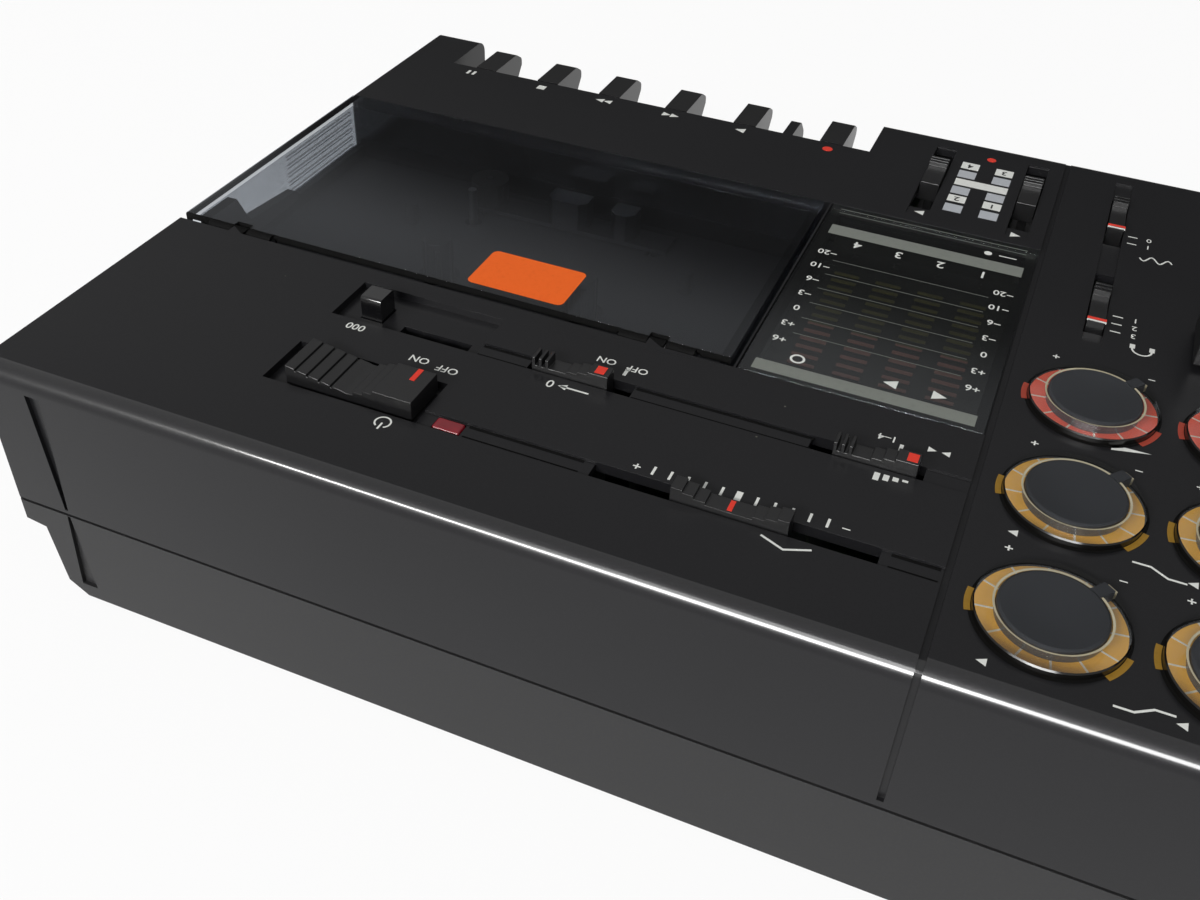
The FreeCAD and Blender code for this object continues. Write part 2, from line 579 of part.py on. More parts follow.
def case_screws():
    """Screws from below: a head sunk in the lower case and a shank up into the upper case."""
    screws = []
    for x in SCREW_XS:
        for y in SCREW_YS:
            head = upright_bar(SCREW_HEAD_R, x, y, BASE + FIT, BASE + FIT + SCREW_HEAD_H)
            shank = upright_bar(SCREW_R, x, y, BASE + SCREW_HEAD_H, PARTING + SCREW_BITE)
            screws.append(joined(head, shank))
    return screws


# ---- mixer ---------------------------------------------------------------------------------------
def knob(x, y):
    """A cap on a bevelled skirt with a pointer towards minus, and a square shaft down to its pot."""
    low = TOP + KNOB_GAP
    skirt_top = low + KNOB_SKIRT_H
    cap_top = skirt_top + KNOB_CAP_H
    skirt = frustum(KNOB_SKIRT_R, KNOB_SKIRT_R - KNOB_BEVEL, x, y, low, skirt_top)
    cap = upright_bar(KNOB_CAP_R, x, y, low, cap_top - KNOB_EDGE, SIDES)
    crown = frustum(KNOB_CAP_R, KNOB_CAP_R - KNOB_EDGE, x, y, cap_top - KNOB_EDGE, cap_top)
    pointer = block(
        KNOB_CAP_R - 2.0, KNOB_SKIRT_R - 0.4, -POINTER_WIDTH / 2, POINTER_WIDTH / 2,
        low, skirt_top + POINTER_RISE,
    )
    pointer.rotate(V(0, 0, 0), Z_AXIS, POINTER_BEARING)
    pointer.translate(V(x, y, 0))
    shaft = pillar(x, y, SHAFT_WIDTH, SHAFT_WIDTH, BOARD_TOP + POT_HEIGHT + FIT, low + 0.5)
    return joined(skirt, cap, crown, pointer, shaft)


def fader_cap(x, y):
    """A wide cap with a dished top for the fingertip and a flat stem through the slot."""
    low, high = TOP + 1.0, TOP + CAP_HEIGHT
    half = CAP_LENGTH / 2
    outline = [
        (y - half, low), (y + half, low), (y + half, low + 3.0), (y + half - 1.2, high),
        (y + half - 3.5, high), (y, high - CAP_DISH), (y - half + 3.5, high), (y - half + 1.2, high),
        (y - half, low + 3.0),
    ]
    cap = side_prism(outline, x - CAP_WIDTH / 2, x + CAP_WIDTH / 2)
    stem = pillar(x, y, FADER_SLOT - 2 * FIT, 8.0, BOARD_TOP + POT_HEIGHT + FIT, low + 1.0)
    return joined(cap, stem)


def slider_end(kind, half, crest, waist):
    """One end of a slider in side view: points from its outer edge inwards, as (reach, height)."""
    if kind == "plain":
        return [(half, waist)]
    if kind == "ribs":
        points = []
        for i in range(RIB_COUNT):
            outer = half - i * 2 * RIB_TREAD
            points += [(outer, crest), (outer - RIB_TREAD, crest), (outer - RIB_TREAD, waist)]
            points.append((outer - 2 * RIB_TREAD, waist))
        return points
    if kind == "ramp":
        points = []
        for i in range(RAMP_GROOVES + 1):
            outer = half - i * RAMP_PITCH
            height = crest - (crest - waist) * i * RAMP_PITCH / half
            drop = height - (crest - waist) * (RAMP_PITCH - RAMP_GROOVE) / half
            points += [(outer, height), (outer - RAMP_PITCH + RAMP_GROOVE, drop)]
            if i < RAMP_GROOVES:
                points += [(outer - RAMP_PITCH + RAMP_GROOVE, drop - 0.6), (outer - RAMP_PITCH, drop - 0.6)]
        return points + [(0.6, waist)]
    plateau = {"steps": 0.0, "block": 2.4, "terrace": 7.0}[kind]
    points = []
    for i in range(STEPS):
        height = crest - i * (crest - waist) / STEPS
        outer = half - i * STEP_TREAD - (plateau if i else 0.0)
        points += [(outer, height), (half - plateau - (i + 1) * STEP_TREAD, height)]
    return points + [(half - plateau - STEPS * STEP_TREAD, waist)]


def slider_knob(slider):
    """A slider: its two ends and low middle in side view, a flange under the panel and a stem."""
    half = slider.length / 2
    face = TOP - slider.tray
    is_wide = slider.tray > 0
    low = face + 0.4 if is_wide else UNDER - 0.4
    plus = slider_end(slider.plus_end, half, slider.crest, slider.waist)
    minus = slider_end(slider.minus_end, half, slider.crest, slider.waist)
    outline = [(half, low)] + [(s, face + z) for s, z in plus]
    outline += [(-s, face + z) for s, z in reversed(minus)] + [(-half, low)]
    body = end_prism(outline, -slider.width / 2, slider.width / 2)
    foot_z = UNDER - STEP - FIT if is_wide else UNDER - FIT
    flange = pillar(0, 0, min(slider.length, 18.0), 8.0, foot_z - 1.2, foot_z)
    neck = pillar(0, 0, 8.0, 3.0, foot_z - 0.2, face + slider.waist - 0.2)
    stem = pillar(0, 0, 4.0, 2.4, BOARD_TOP + SWITCH_HEIGHT + FIT, foot_z)
    shape = joined(body, neck, flange, stem)
    if slider.runs_along == "y":
        shape.rotate(V(0, 0, 0), Z_AXIS, 90)
    shape.translate(V(slider.x, slider.y, 0))
    return shape


def circuit_boards():
    """Mixer board with pots and fader tracks, two boards with slide switches, and the meter board."""
    mixer = block(
        -HALF + WALL + BOARD_EDGE, -BOARD_EDGE, FRONT + WALL + BOARD_EDGE, REAR - WALL - BOARD_EDGE,
        BOARD_UNDER, BOARD_TOP,
    )
    rear = block(
        0, TRAY_LEFT + TRAY_LENGTH, WELL_REAR + 2 * STEP, REAR - WALL - BOARD_EDGE, BOARD_UNDER, BOARD_TOP
    )
    front = block(
        0, NOTCH_LEFT - 2 * STEP, FRONT + WALL + BOARD_EDGE, WELL_FRONT - 2 * STEP, BOARD_UNDER, BOARD_TOP
    )
    parts = {"mixer": [mixer], "rear": [rear], "front": [front]}
    for x in COLUMN_XS:
        for y in ROW_YS:
            parts["mixer"].append(pillar(x, y, POT_SIZE, POT_SIZE, BOARD_TOP, BOARD_TOP + POT_HEIGHT))
    for x in FADER_XS:
        y = FADER_TOP_Y - FADER_TRAVEL / 2
        length = FADER_TRAVEL + 2 * 7.0
        parts["mixer"].append(pillar(x, y, POT_SIZE, length, BOARD_TOP, BOARD_TOP + POT_HEIGHT))
    for slider in SLIDERS.values():
        x0, x1, y0, y1 = slider.span()
        switch = block(x0, x1, y0, y1, BOARD_TOP, BOARD_TOP + SWITCH_HEIGHT)
        board = "mixer" if slider.x < 0 else "rear" if slider.y > 0 else "front"
        parts[board].append(switch)
    meter_face = UNDER - STEP - LED_HEIGHT
    middle_y = (WELL_FRONT + WELL_REAR) / 2 + LED_SHIFT
    meter = block(
        METER_LEDGE - 2.0, METER_WIDTH - METER_LEDGE + 1.3, WELL_FRONT + STEP, WELL_REAR - STEP,
        meter_face - BOARD_THICK, meter_face,
    )
    bars = []
    for i in range(LED_COLUMNS):
        for j in range(LED_ROWS):
            x = LED_FIRST_X + i * LED_PITCH_X
            y = middle_y + (j - (LED_ROWS - 1) / 2) * LED_PITCH_Y
            bars.append(pillar(x, y, LED_LENGTH, LED_WIDTH, meter_face, meter_face + LED_HEIGHT))
    posts = [
        pillar(x, y, 2.6, 3.0, meter_face, UNDER - STEP)
        for x in (METER_LEDGE, METER_WIDTH - METER_LEDGE)
        for y in (WELL_FRONT + 10.0, WELL_REAR - 10.0)
    ]
    return [joined(*pieces) for pieces in parts.values()] + [joined(meter, *bars, *posts)]


def meter_window():
    return block(
        EDGE_GAP / 2, METER_WIDTH - EDGE_GAP / 2, WELL_FRONT + EDGE_GAP / 2, WELL_REAR - EDGE_GAP / 2,
        TOP - METER_THICK, TOP,
    )


def power_lamp():
    """The lens: flush with the band it sits in, with a flange under the panel."""
    lens = pillar(LAMP_X, PITCH_Y, LAMP_LENGTH - 0.2, LAMP_WIDTH - 0.2, UNDER - 1.0, TOP)
    flange = pillar(LAMP_X, PITCH_Y, LAMP_LENGTH + 2, LAMP_WIDTH + 2, UNDER - 1.0, UNDER)
    lead = pillar(LAMP_X, PITCH_Y, 3.0, 3.0, BOARD_TOP, UNDER)
    return joined(lens, flange, lead)


# ---- cassette lid --------------------------------------------------------------------------------
def lid_barrels():
    """The tubes at the lid's rear edge, one each side of every hinge ear."""
    spans = []
    for x in HINGE_XS:
        near = HINGE_EAR / 2 + FIT
        spans += [(x - near - BARREL_LENGTH, x - near), (x + near, x + near + BARREL_LENGTH)]
    return spans


def cassette_lid():
    """A clear tray upside down: top, front and left skirts set in, and the deep ribbed skirt at the right."""
    low = TOP - LID_THICK
    foot = TOP - SKIRT_DEPTH
    inset = SKIRT_INSET
    reach = HALF - LID_THICK - RIB_PROUD
    top = block(LID_LEFT, HALF, LID_FRONT, LID_REAR, low, TOP)
    front = block(
        LID_LEFT + inset, HALF - LID_THICK, LID_FRONT + inset, LID_FRONT + inset + LID_THICK,
        TOP - INNER_SKIRT, low,
    )
    left = block(
        LID_LEFT + inset, LID_LEFT + inset + LID_THICK, LID_FRONT + inset, LID_REAR - 2 * inset,
        TOP - INNER_SKIRT, low,
    )
    right = block(HALF - LID_THICK, HALF, LID_FRONT, LID_REAR, foot, low)
    lid = joined(top, front, left, right)
    lid = rounded(lid, LID_EDGE, Y_AXIS, lambda p: p.x > HALF - 0.1 and p.z > TOP - 0.1)
    ribs = []
    for i in range(RIBS):
        z = foot + RIB_FOOT + i * RIB_PITCH
        y0 = LID_FRONT + inset + 2 * LID_THICK
        ribs.append(block(reach, HALF - LID_THICK, y0, y0 + RIB_LENGTH, z, z + RIB_HEIGHT))
    notches = []
    for x in HINGE_XS:
        half_notch = HINGE_EAR / 2 + FIT
        ahead = HINGE_Y - HINGE_R - FIT
        notches.append(block(x - half_notch, x + half_notch, ahead, LID_REAR + 1, low - 1, TOP + 1))
    barrels, bores = [], []
    for x0, x1 in lid_barrels():
        barrels.append(bar(HINGE_R, V(x0, HINGE_Y, HINGE_Z), V(x1, HINGE_Y, HINGE_Z)))
        bores.append(hole(HINGE_PIN_R + RUNNING, V(x0 - 1, HINGE_Y, HINGE_Z), V(x1 + 1, HINGE_Y, HINGE_Z)))
    clear = joined(lid, *ribs, *barrels).cut(notches + bores)

    outline = [
        (LID_REAR - 2.0, low), (LID_REAR - 14.0, low), (LID_REAR - 18.0, low - 8.0),
        (LID_REAR - 40.0, low - 10.0), (LID_REAR - 41.5, low - 11.5), (LID_REAR - 40.0, low - 13.0),
        (LID_REAR - 12.0, low - 13.0), (LID_REAR - 2.0, low - 9.0),
    ]
    bracket = side_prism(outline, reach - BRACKET_THICK, reach)
    return [clear, bracket]


# ---- transport -----------------------------------------------------------------------------------
def deck_plate():
    """The floor of the well, with holes for reels, capstan and the bridge's tabs, and two rest posts."""
    plate = block(WELL_LEFT + FIT, HALF - WALL - FIT, WELL_FRONT + FIT, WELL_REAR - FIT, DECK_UNDER, DECK_TOP)
    posts = [
        upright_bar(REST_POST_R, TAPE_X + shift, REEL_Y - 22.0, DECK_UNDER, DECK_TOP + REST_POST_H)
        for shift in (-REST_POST_SPACING / 2, REST_POST_SPACING / 2)
    ]
    holes = [upright_hole(REEL_HUB_R + 1.0, x, REEL_Y, DECK_UNDER - 1, DECK_TOP + 1, SIDES) for x in REEL_XS]
    holes.append(upright_hole(CAPSTAN_R + 1.2, CAPSTAN_X, CAPSTAN_Y, DECK_UNDER - 1, DECK_TOP + 1))
    for x, y in bridge_tabs():
        holes.append(pillar(x, y + BRIDGE_TRAVEL / 2, 3.4, 4.0 + BRIDGE_TRAVEL, DECK_UNDER - 1, DECK_TOP + 1))
    return joined(plate, *posts).cut(holes)


def bridge_tabs():
    return [(TAPE_X + side * (BRIDGE_WIDTH / 2 - 4.0), PINCH_Y) for side in (-1, 1)]


def head_bridge():
    """The sliding plate with its two guide tabs and the roller's pin, and the two tape heads on it."""
    y, z = PINCH_Y, DECK_TOP + FIT
    plate = pillar(TAPE_X, y, BRIDGE_WIDTH, BRIDGE_LENGTH, z, z + BRIDGE_THICK)
    tabs = [pillar(x, tab_y, 2.4, 3.0, DECK_UNDER - 2.0, z) for x, tab_y in bridge_tabs()]
    pin = upright(BRIDGE_PIN_R, CAPSTAN_X, PINCH_Y, z + 0.5, z + BRIDGE_THICK + PINCH_H + 2 * FIT)
    heads = []
    for x, width in ((TAPE_X, HEAD_WIDTH), (TAPE_X - HEAD_WIDTH - 5.0, HEAD_WIDTH * 0.6)):
        head = pillar(x, y + 1.0, width, HEAD_DEPTH, z + BRIDGE_THICK, z + BRIDGE_THICK + HEAD_HEIGHT)
        heads.append(chamfered(head, 2.0, Z_AXIS, lambda p: p.y > y))
    return [joined(plate, *tabs, pin), *heads]


def pinch_roller():
    low = DECK_TOP + FIT + BRIDGE_THICK + FIT
    tyre = upright_bar(PINCH_R, CAPSTAN_X, PINCH_Y, low, low + PINCH_H, SIDES)
    return tyre.cut(upright_hole(BRIDGE_PIN_R + RUNNING, CAPSTAN_X, PINCH_Y, low - 1, low + PINCH_H + 1))


def spindle(x):
    """A reel spindle: a splined hub through the deck and its gear under it, on a pin of the frame."""
    gear_low = DECK_UNDER - FIT - REEL_GEAR_H - 1.0
    gear_high = gear_low + REEL_GEAR_H
    bore = REEL_PIN_R + RUNNING
    core = REEL_HUB_R - REEL_FIN
    hub_top = DECK_TOP + REEL_HUB_H
    gear = upright_bar(REEL_GEAR_R, x, REEL_Y, gear_low, gear_high, 2 * FEW_SIDES)
    hub = upright_bar(core, x, REEL_Y, gear_low, hub_top)
    fins = []
    for i in range(3):
        fin = block(0, REEL_HUB_R, -0.7, 0.7, gear_high, hub_top - 1.5)
        fin = fin.cut(upright_bar(core - 0.5, 0, 0, gear_high - 1, hub_top))
        fin.rotate(V(0, 0, 0), Z_AXIS, 120.0 * i)
        fin.translate(V(x, REEL_Y, 0))
        fins.append(fin)
    return joined(gear, hub, *fins).cut(upright_hole(bore, x, REEL_Y, gear_low - 1, DECK_TOP + 4.0))


def transport_frame():
    """Steel plate with pins for the reels, pillars to the deck, key shaft ears and the motor under it."""
    x0, x1 = key_ear_xs()[0] - STEP / 2, key_ear_xs()[-1] + STEP / 2
    plate = block(x0, x1, KEY_PIVOT_Y - 18.0, LID_REAR, FRAME_UNDER, FRAME_TOP)
    boss = upright_bar(4.0, CAPSTAN_X, CAPSTAN_Y, FRAME_UNDER - 8.0, FRAME_TOP + 2.0)
    pins = [upright(REEL_PIN_R, x, REEL_Y, FRAME_TOP - 0.5, DECK_TOP + 3.6) for x in REEL_XS]
    pillars = [
        upright_bar(3.0, x, y, FRAME_TOP, DECK_UNDER)
        for x in (TAPE_X - 50.0, TAPE_X + 50.0) for y in (WELL_FRONT + 6.0, LID_REAR - 6.0)
    ]
    ears = []
    for x in key_ear_xs():
        ear = pillar(x, KEY_PIVOT_Y, STEP, 2 * KEY_BOSS_R, FRAME_UNDER, KEY_PIVOT_Z + KEY_BOSS_R)
        start, end = V(x - STEP, KEY_PIVOT_Y, KEY_PIVOT_Z), V(x + STEP, KEY_PIVOT_Y, KEY_PIVOT_Z)
        ears.append(ear.cut(hole(KEY_SHAFT_R, start, end)))
    frame = joined(plate, boss, *pins, *pillars, *ears)
    bearing = upright_hole(CAPSTAN_R + RUNNING, CAPSTAN_X, CAPSTAN_Y, FRAME_UNDER - 9.0, FRAME_TOP + 3.0)
    frame = frame.cut(bearing)
    can_low = FLYWHEEL_TOP + 3.0
    can = upright_bar(MOTOR_R, MOTOR_X, MOTOR_Y, can_low, FRAME_UNDER, 2 * FEW_SIDES)
    can = can.cut(upright_hole(MOTOR_SHAFT_R + RUNNING, MOTOR_X, MOTOR_Y, can_low - 1, can_low + 6.0))
    return [frame, can]


def key_ear_xs():
    """The shaft is held outside the outer keys and between the middle ones."""
    middle = (KEY_X["rewind"] + KEY_X["forward"]) / 2
    return [KEY_X["record"] - 8.0, middle, KEY_X["pause"] + 8.0]


def capstan():
    """The capstan shaft and the flywheel pressed onto it."""
    low, high = FLYWHEEL_TOP - FLYWHEEL_H, FLYWHEEL_TOP
    shaft = upright(CAPSTAN_R, CAPSTAN_X, CAPSTAN_Y, low - 2.0, DECK_TOP + REEL_HUB_H - 0.5)
    wheel = upright_bar(FLYWHEEL_R, CAPSTAN_X, CAPSTAN_Y, low, high, 3 * FEW_SIDES)
    return [shaft, wheel.cut(upright_hole(CAPSTAN_R, CAPSTAN_X, CAPSTAN_Y, low - 1, high + 1))]


def motor_pulley():
    low, high = FLYWHEEL_TOP - FLYWHEEL_H, FLYWHEEL_TOP
    flange = upright_bar(PULLEY_R + 1.0, MOTOR_X, MOTOR_Y, low, low + 0.8, SIDES)
    drum = upright_bar(PULLEY_R, MOTOR_X, MOTOR_Y, low, high, SIDES)
    return joined(flange, drum, upright(MOTOR_SHAFT_R, MOTOR_X, MOTOR_Y, high - 1.0, high + 8.0))


def belt_face(gap, z):
    """The loop round flywheel and pulley at a distance from both, as one flat face."""
    a, b = V(CAPSTAN_X, CAPSTAN_Y, z), V(MOTOR_X, MOTOR_Y, z)
    way = b.sub(a)
    bearing = math.atan2(way.y, way.x)
    turn = math.acos((FLYWHEEL_R - PULLEY_R) / way.Length)
    points = []
    for centre, radius, first, last in (
        (a, FLYWHEEL_R + gap, bearing + turn, bearing - turn + 2 * math.pi),
        (b, PULLEY_R + gap, bearing - turn, bearing + turn),
    ):
        for i in range(SIDES + 1):
            angle = first + (last - first) * i / SIDES
            points.append(centre + V(radius * math.cos(angle), radius * math.sin(angle), 0))
    return Part.Face(Part.makePolygon(points + [points[0]]))


def drive_belt():
    z = FLYWHEEL_TOP - FLYWHEEL_H / 2 - BELT_HEIGHT / 2
    ring = belt_face(FIT + BELT_THICK, z).cut(belt_face(FIT, z))
    return ring.extrude(V(0, 0, BELT_HEIGHT))


def pivot_pins():
    """Key shaft, lid hinge pins and the axle of the counter wheels."""
    left, right = key_ear_xs()[0] - STEP, key_ear_xs()[-1] + STEP
    shaft = rod(KEY_SHAFT_R, V(left, KEY_PIVOT_Y, KEY_PIVOT_Z), V(right, KEY_PIVOT_Y, KEY_PIVOT_Z))
    pins = []
    for x in HINGE_XS:
        reach = HINGE_EAR / 2 + FIT + BARREL_LENGTH
        pins.append(rod(HINGE_PIN_R, V(x - reach, HINGE_Y, HINGE_Z), V(x + reach, HINGE_Y, HINGE_Z)))
    first = WHEEL_FIRST_X - WHEEL_PITCH / 2 - STEP
    last = WHEEL_FIRST_X + (WHEELS - 0.5) * WHEEL_PITCH + STEP
    axle = rod(AXLE_R, V(first, WINDOW_Y, WHEEL_Z), V(last, WINDOW_Y, WHEEL_Z))
    return [shaft, *pins, axle]


def key(x):
    """A lever key: flush top with a beaked nose, undercut stem, and an arm back to its pivot."""
    edge = NOTCH_REAR - EDGE_GAP
    tip = NOTCH_REAR - KEY_REACH
    under_panel = UNDER - EDGE_GAP - 0.4
    outline = [
        (edge, TOP), (tip + KEY_ROUND, TOP), (tip, TOP - KEY_ROUND * 0.6), (tip, TOP - KEY_NOSE),
        (tip + KEY_UNDERCUT, TOP - KEY_NOSE - 5.0), (tip + KEY_UNDERCUT, TOP - KEY_STEM),
        (NOTCH_REAR - 4.0, TOP - KEY_STEM), (KEY_PIVOT_Y - 2.0, KEY_PIVOT_Z - KEY_BOSS_R),
        (KEY_PIVOT_Y, KEY_PIVOT_Z), (KEY_PIVOT_Y - 4.0, under_panel), (edge, under_panel),
    ]
    x0, x1 = x - KEY_WIDTH / 2, x + KEY_WIDTH / 2
    lever = side_prism(outline, x0, x1)
    lever = rounded(lever, 2.0, X_AXIS, lambda p: p.z > TOP - 3 and p.y < tip + KEY_ROUND + 0.1)
    boss = bar(KEY_BOSS_R, V(x0, KEY_PIVOT_Y, KEY_PIVOT_Z), V(x1, KEY_PIVOT_Y, KEY_PIVOT_Z))
    start, end = V(x0 - 1, KEY_PIVOT_Y, KEY_PIVOT_Z), V(x1 + 1, KEY_PIVOT_Y, KEY_PIVOT_Z)
    bore = hole(KEY_SHAFT_R + RUNNING, start, end)
    return joined(lever, boss).cut(bore)


# ---- counter and sockets -------------------------------------------------------------------------
def counter_wheel(i):
    x = WHEEL_FIRST_X + i * WHEEL_PITCH
    start, end = V(x - WHEEL_WIDTH / 2, WINDOW_Y, WHEEL_Z), V(x + WHEEL_WIDTH / 2, WINDOW_Y, WHEEL_Z)
    return bar(WHEEL_R, start, end, SIDES).cut(hole(AXLE_R + RUNNING, start, end))


def reset_button():
    """A square button with a flange under the tray that stops it from coming out."""
    face = TOP - TRAY_DEPTH
    button = pillar(RESET_X, RESET_Y, RESET_LENGTH, RESET_WIDTH, UNDER - STEP - 4.0, TOP + RESET_HEIGHT)
    button = rounded(button, 0.8, X_AXIS, lambda p: p.z > face)
    flange_z = UNDER - STEP - FIT
    flange = pillar(RESET_X, RESET_Y, RESET_LENGTH + 3, RESET_WIDTH + 3, flange_z - 1.2, flange_z)
    return joined(button, flange)


def socket_body(x, y0, y1):
    """A square moulded socket in its window, with a lug up to the board that it is soldered to."""
    side = JACK_SIZE / 2 - 0.1
    body = block(x - side, x + side, y0, y1, JACK_BOTTOM + 0.1, JACK_BOTTOM + JACK_SIZE - 0.1)
    middle = (max(y0, FRONT + WALL) + min(y1, REAR - WALL)) / 2
    return joined(body, pillar(x, middle, 8.0, 6.0, JACK_BOTTOM + JACK_SIZE - 1, BOARD_UNDER))


def front_jack(x):
    body = socket_body(x, FRONT, FRONT + JACK_DEPTH + STEP)
    z = JACK_BOTTOM + JACK_SIZE / 2
    return body.cut(rod(JACK_BORE_R, V(x, FRONT - 1, z), V(x, FRONT + JACK_DEPTH, z)))


def phono_socket(x):
    z = JACK_BOTTOM + JACK_SIZE / 2
    barrel = bar(PHONO_R, V(x, REAR - PHONO_DEPTH - 1, z), V(x, REAR, z), SIDES)
    bore = hole(PHONO_BORE_R, V(x, REAR - PHONO_DEPTH, z), V(x, REAR + 1, z))
    return joined(socket_body(x, REAR - 20.0, REAR - PHONO_DEPTH), barrel).cut(bore)


def power_inlet(x):
    z = JACK_BOTTOM + JACK_SIZE / 2
    bore = hole(INLET_BORE_R, V(x, REAR - PHONO_DEPTH, z), V(x, REAR + 1, z), SIDES)
    pin = bar(INLET_PIN_R, V(x, REAR - PHONO_DEPTH - 1, z), V(x, REAR - 1.5, z))
    return joined(socket_body(x, REAR - 20.0, REAR).cut(bore), pin)


def main():
    os.makedirs("parts", exist_ok=True)
    save("upper_case", upper_case())
    save("lower_case", lower_case())
    save("rubber_feet", *rubber_feet())
    save("case_screws", *case_screws())
    save("meter_window", meter_window())
    save("circuit_boards", *circuit_boards())
    save("power_lamp", power_lamp())
    save("deck_plate", deck_plate())
    save("transport_frame", *transport_frame())
    save("drive_belt", drive_belt())
    save("pivot_pins", *pivot_pins())
    jacks, phonos = [front_jack(x) for x in SOCKET_XS], [phono_socket(x) for x in PHONO_X]
    save("sockets", *jacks, *phonos, power_inlet(INLET_X))

    save("cassette_lid", *cassette_lid())
    save("supply_spindle", spindle(REEL_XS[0]))
    save("takeup_spindle", spindle(REEL_XS[1]))
    save("capstan", *capstan())
    save("motor_pulley", motor_pulley())
    save("head_bridge", *head_bridge())
    save("pinch_roller", pinch_roller())
    save("reset_button", reset_button())
    for i, place in enumerate(("hundreds", "tens", "units")):
        save(f"counter_{place}", counter_wheel(i))
    for name in KEYS:
        save(f"{name}_key", key(KEY_X[name]))
    for name, slider in SLIDERS.items():
        save(f"{name}_slider", slider_knob(slider))
    for row, y in zip(("high", "low", "level"), ROW_YS):
        for i, x in enumerate(COLUMN_XS):
            save(f"{row}_knob_{i + 1}", knob(x, y))
    for i, x in enumerate(FADER_XS[:-1]):
        save(f"fader_{i + 1}", fader_cap(x, FADER_TOP_Y - FADER_TRAVEL))
    save("master_fader", fader_cap(FADER_XS[-1], FADER_TOP_Y))


main()
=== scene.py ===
"""Dresses the four track cassette recorder: finishes, printed scales, knobs, lid, meter and a plain stage."""

import math

import bmesh
import bpy
from bpy.props import FloatProperty, FloatVectorProperty, IntProperty, PointerProperty
from bpy.types import Operator, Panel, PropertyGroup
from mathutils import Matrix, Vector


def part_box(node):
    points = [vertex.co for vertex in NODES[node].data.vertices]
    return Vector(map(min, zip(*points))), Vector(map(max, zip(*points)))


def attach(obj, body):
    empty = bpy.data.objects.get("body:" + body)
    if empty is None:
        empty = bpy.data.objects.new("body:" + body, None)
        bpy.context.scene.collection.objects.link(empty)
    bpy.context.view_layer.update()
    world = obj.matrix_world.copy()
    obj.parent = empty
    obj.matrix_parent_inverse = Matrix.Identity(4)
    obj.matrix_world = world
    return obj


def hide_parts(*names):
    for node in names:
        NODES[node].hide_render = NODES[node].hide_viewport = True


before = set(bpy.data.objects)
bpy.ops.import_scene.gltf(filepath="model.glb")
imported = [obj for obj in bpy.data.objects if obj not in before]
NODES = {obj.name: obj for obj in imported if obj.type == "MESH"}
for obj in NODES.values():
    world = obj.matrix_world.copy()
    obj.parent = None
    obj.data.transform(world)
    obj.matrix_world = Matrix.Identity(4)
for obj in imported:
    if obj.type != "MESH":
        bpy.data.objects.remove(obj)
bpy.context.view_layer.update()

bl_info = {
    "name": "Four track cassette recorder",
    "version": (1, 0, 0),
    "blender": (4, 5, 0),
    "location": "3D View > Sidebar > Recorder",
    "description": "Builds the finishes and fine pieces of a four track cassette recorder on its frame",
    "category": "Object",
}

CHASSIS = "chassis"
MM = 0.001

def middle(node, axis):
    """The middle of a frame node's box along an axis, in millimetres."""
    low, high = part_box(node)
    return (low[axis] + high[axis]) / 2 / MM


# Places on the recorder in millimetres, from the frame's own boxes
PANEL_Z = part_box("upper_case")[1].z / MM
INK_Z = PANEL_Z + 0.03
BAND_WIDTH, BAND_DEPTH = 4.6, 0.5       # the sunk bands that the sliders of the deck stand in
POINTER_BEARING = 230.0                 # degrees from +x to the pointers of the knobs
HINGE_REACH = 2.5                       # the lid's barrels reach that far behind its plate
EDGE_SHINE = 4.0                        # the polished round reaches that far from the rear top edge
LID_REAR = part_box("cassette_lid")[1].y / MM - HINGE_REACH
KNOB_ROWS = ["high", "low", "level"]
KNOB_XS = [middle(f"high_knob_{i}", 0) for i in range(1, 7)]
KNOB_YS = [middle(f"{row}_knob_1", 1) for row in KNOB_ROWS]
KNOB_PITCH = KNOB_XS[1] - KNOB_XS[0]
PITCH_Y = middle("pitch_slider", 1)
METER_Y = middle("meter_slider", 1)
KEY_XS = {name: middle(name + "_key", 0) for name in ("record", "play", "rewind", "forward", "stop", "pause")}


def srgb(red, green, blue):
    """A colour given as 0 to 255 on screen, as the linear numbers that shaders use."""
    def linear(level):
        level /= 255
        return level / 12.92 if level <= 0.04045 else ((level + 0.055) / 1.055) ** 2.4
    return (linear(red), linear(green), linear(blue))


# ---- settings ------------------------------------------------------------------------------------
def colour_setting(name, description, default):
    return FloatVectorProperty(
        name=name, description=description, default=default, subtype="COLOR", size=3, min=0.0, max=1.0
    )


def size_setting(name, description, default):
    return FloatProperty(name=name, description=description, default=default * MM, unit="LENGTH", min=0.0)


def share_setting(name, description, default):
    return FloatProperty(
        name=name, description=description, default=default, min=0.0, max=1.0, subtype="FACTOR"
    )


def strength_setting(name, description, default):
    return FloatProperty(name=name, description=description, default=default, min=0.0)


class CaseSettings(PropertyGroup):
    plastic: colour_setting("Case plastic", "Colour of the upper case", srgb(24, 24, 26))
    lower: colour_setting("Lower case plastic", "Colour of the lower case", srgb(38, 38, 39))
    satin: colour_setting("Satin plastic", "Colour of keys, caps and sliders", srgb(22, 22, 23))
    ink: colour_setting("Ink", "Colour of the printed scales", srgb(222, 224, 220))
    band: colour_setting("Grey ink", "Colour of the printed grey bands", srgb(118, 122, 116))
    accent: colour_setting("Accent", "Colour of the red marks", srgb(222, 52, 34))
    grain: size_setting("Grain", "Depth of the moulded grain", 0.012)
    edge: size_setting("Edge", "Rounding of the moulded edges", 0.3)


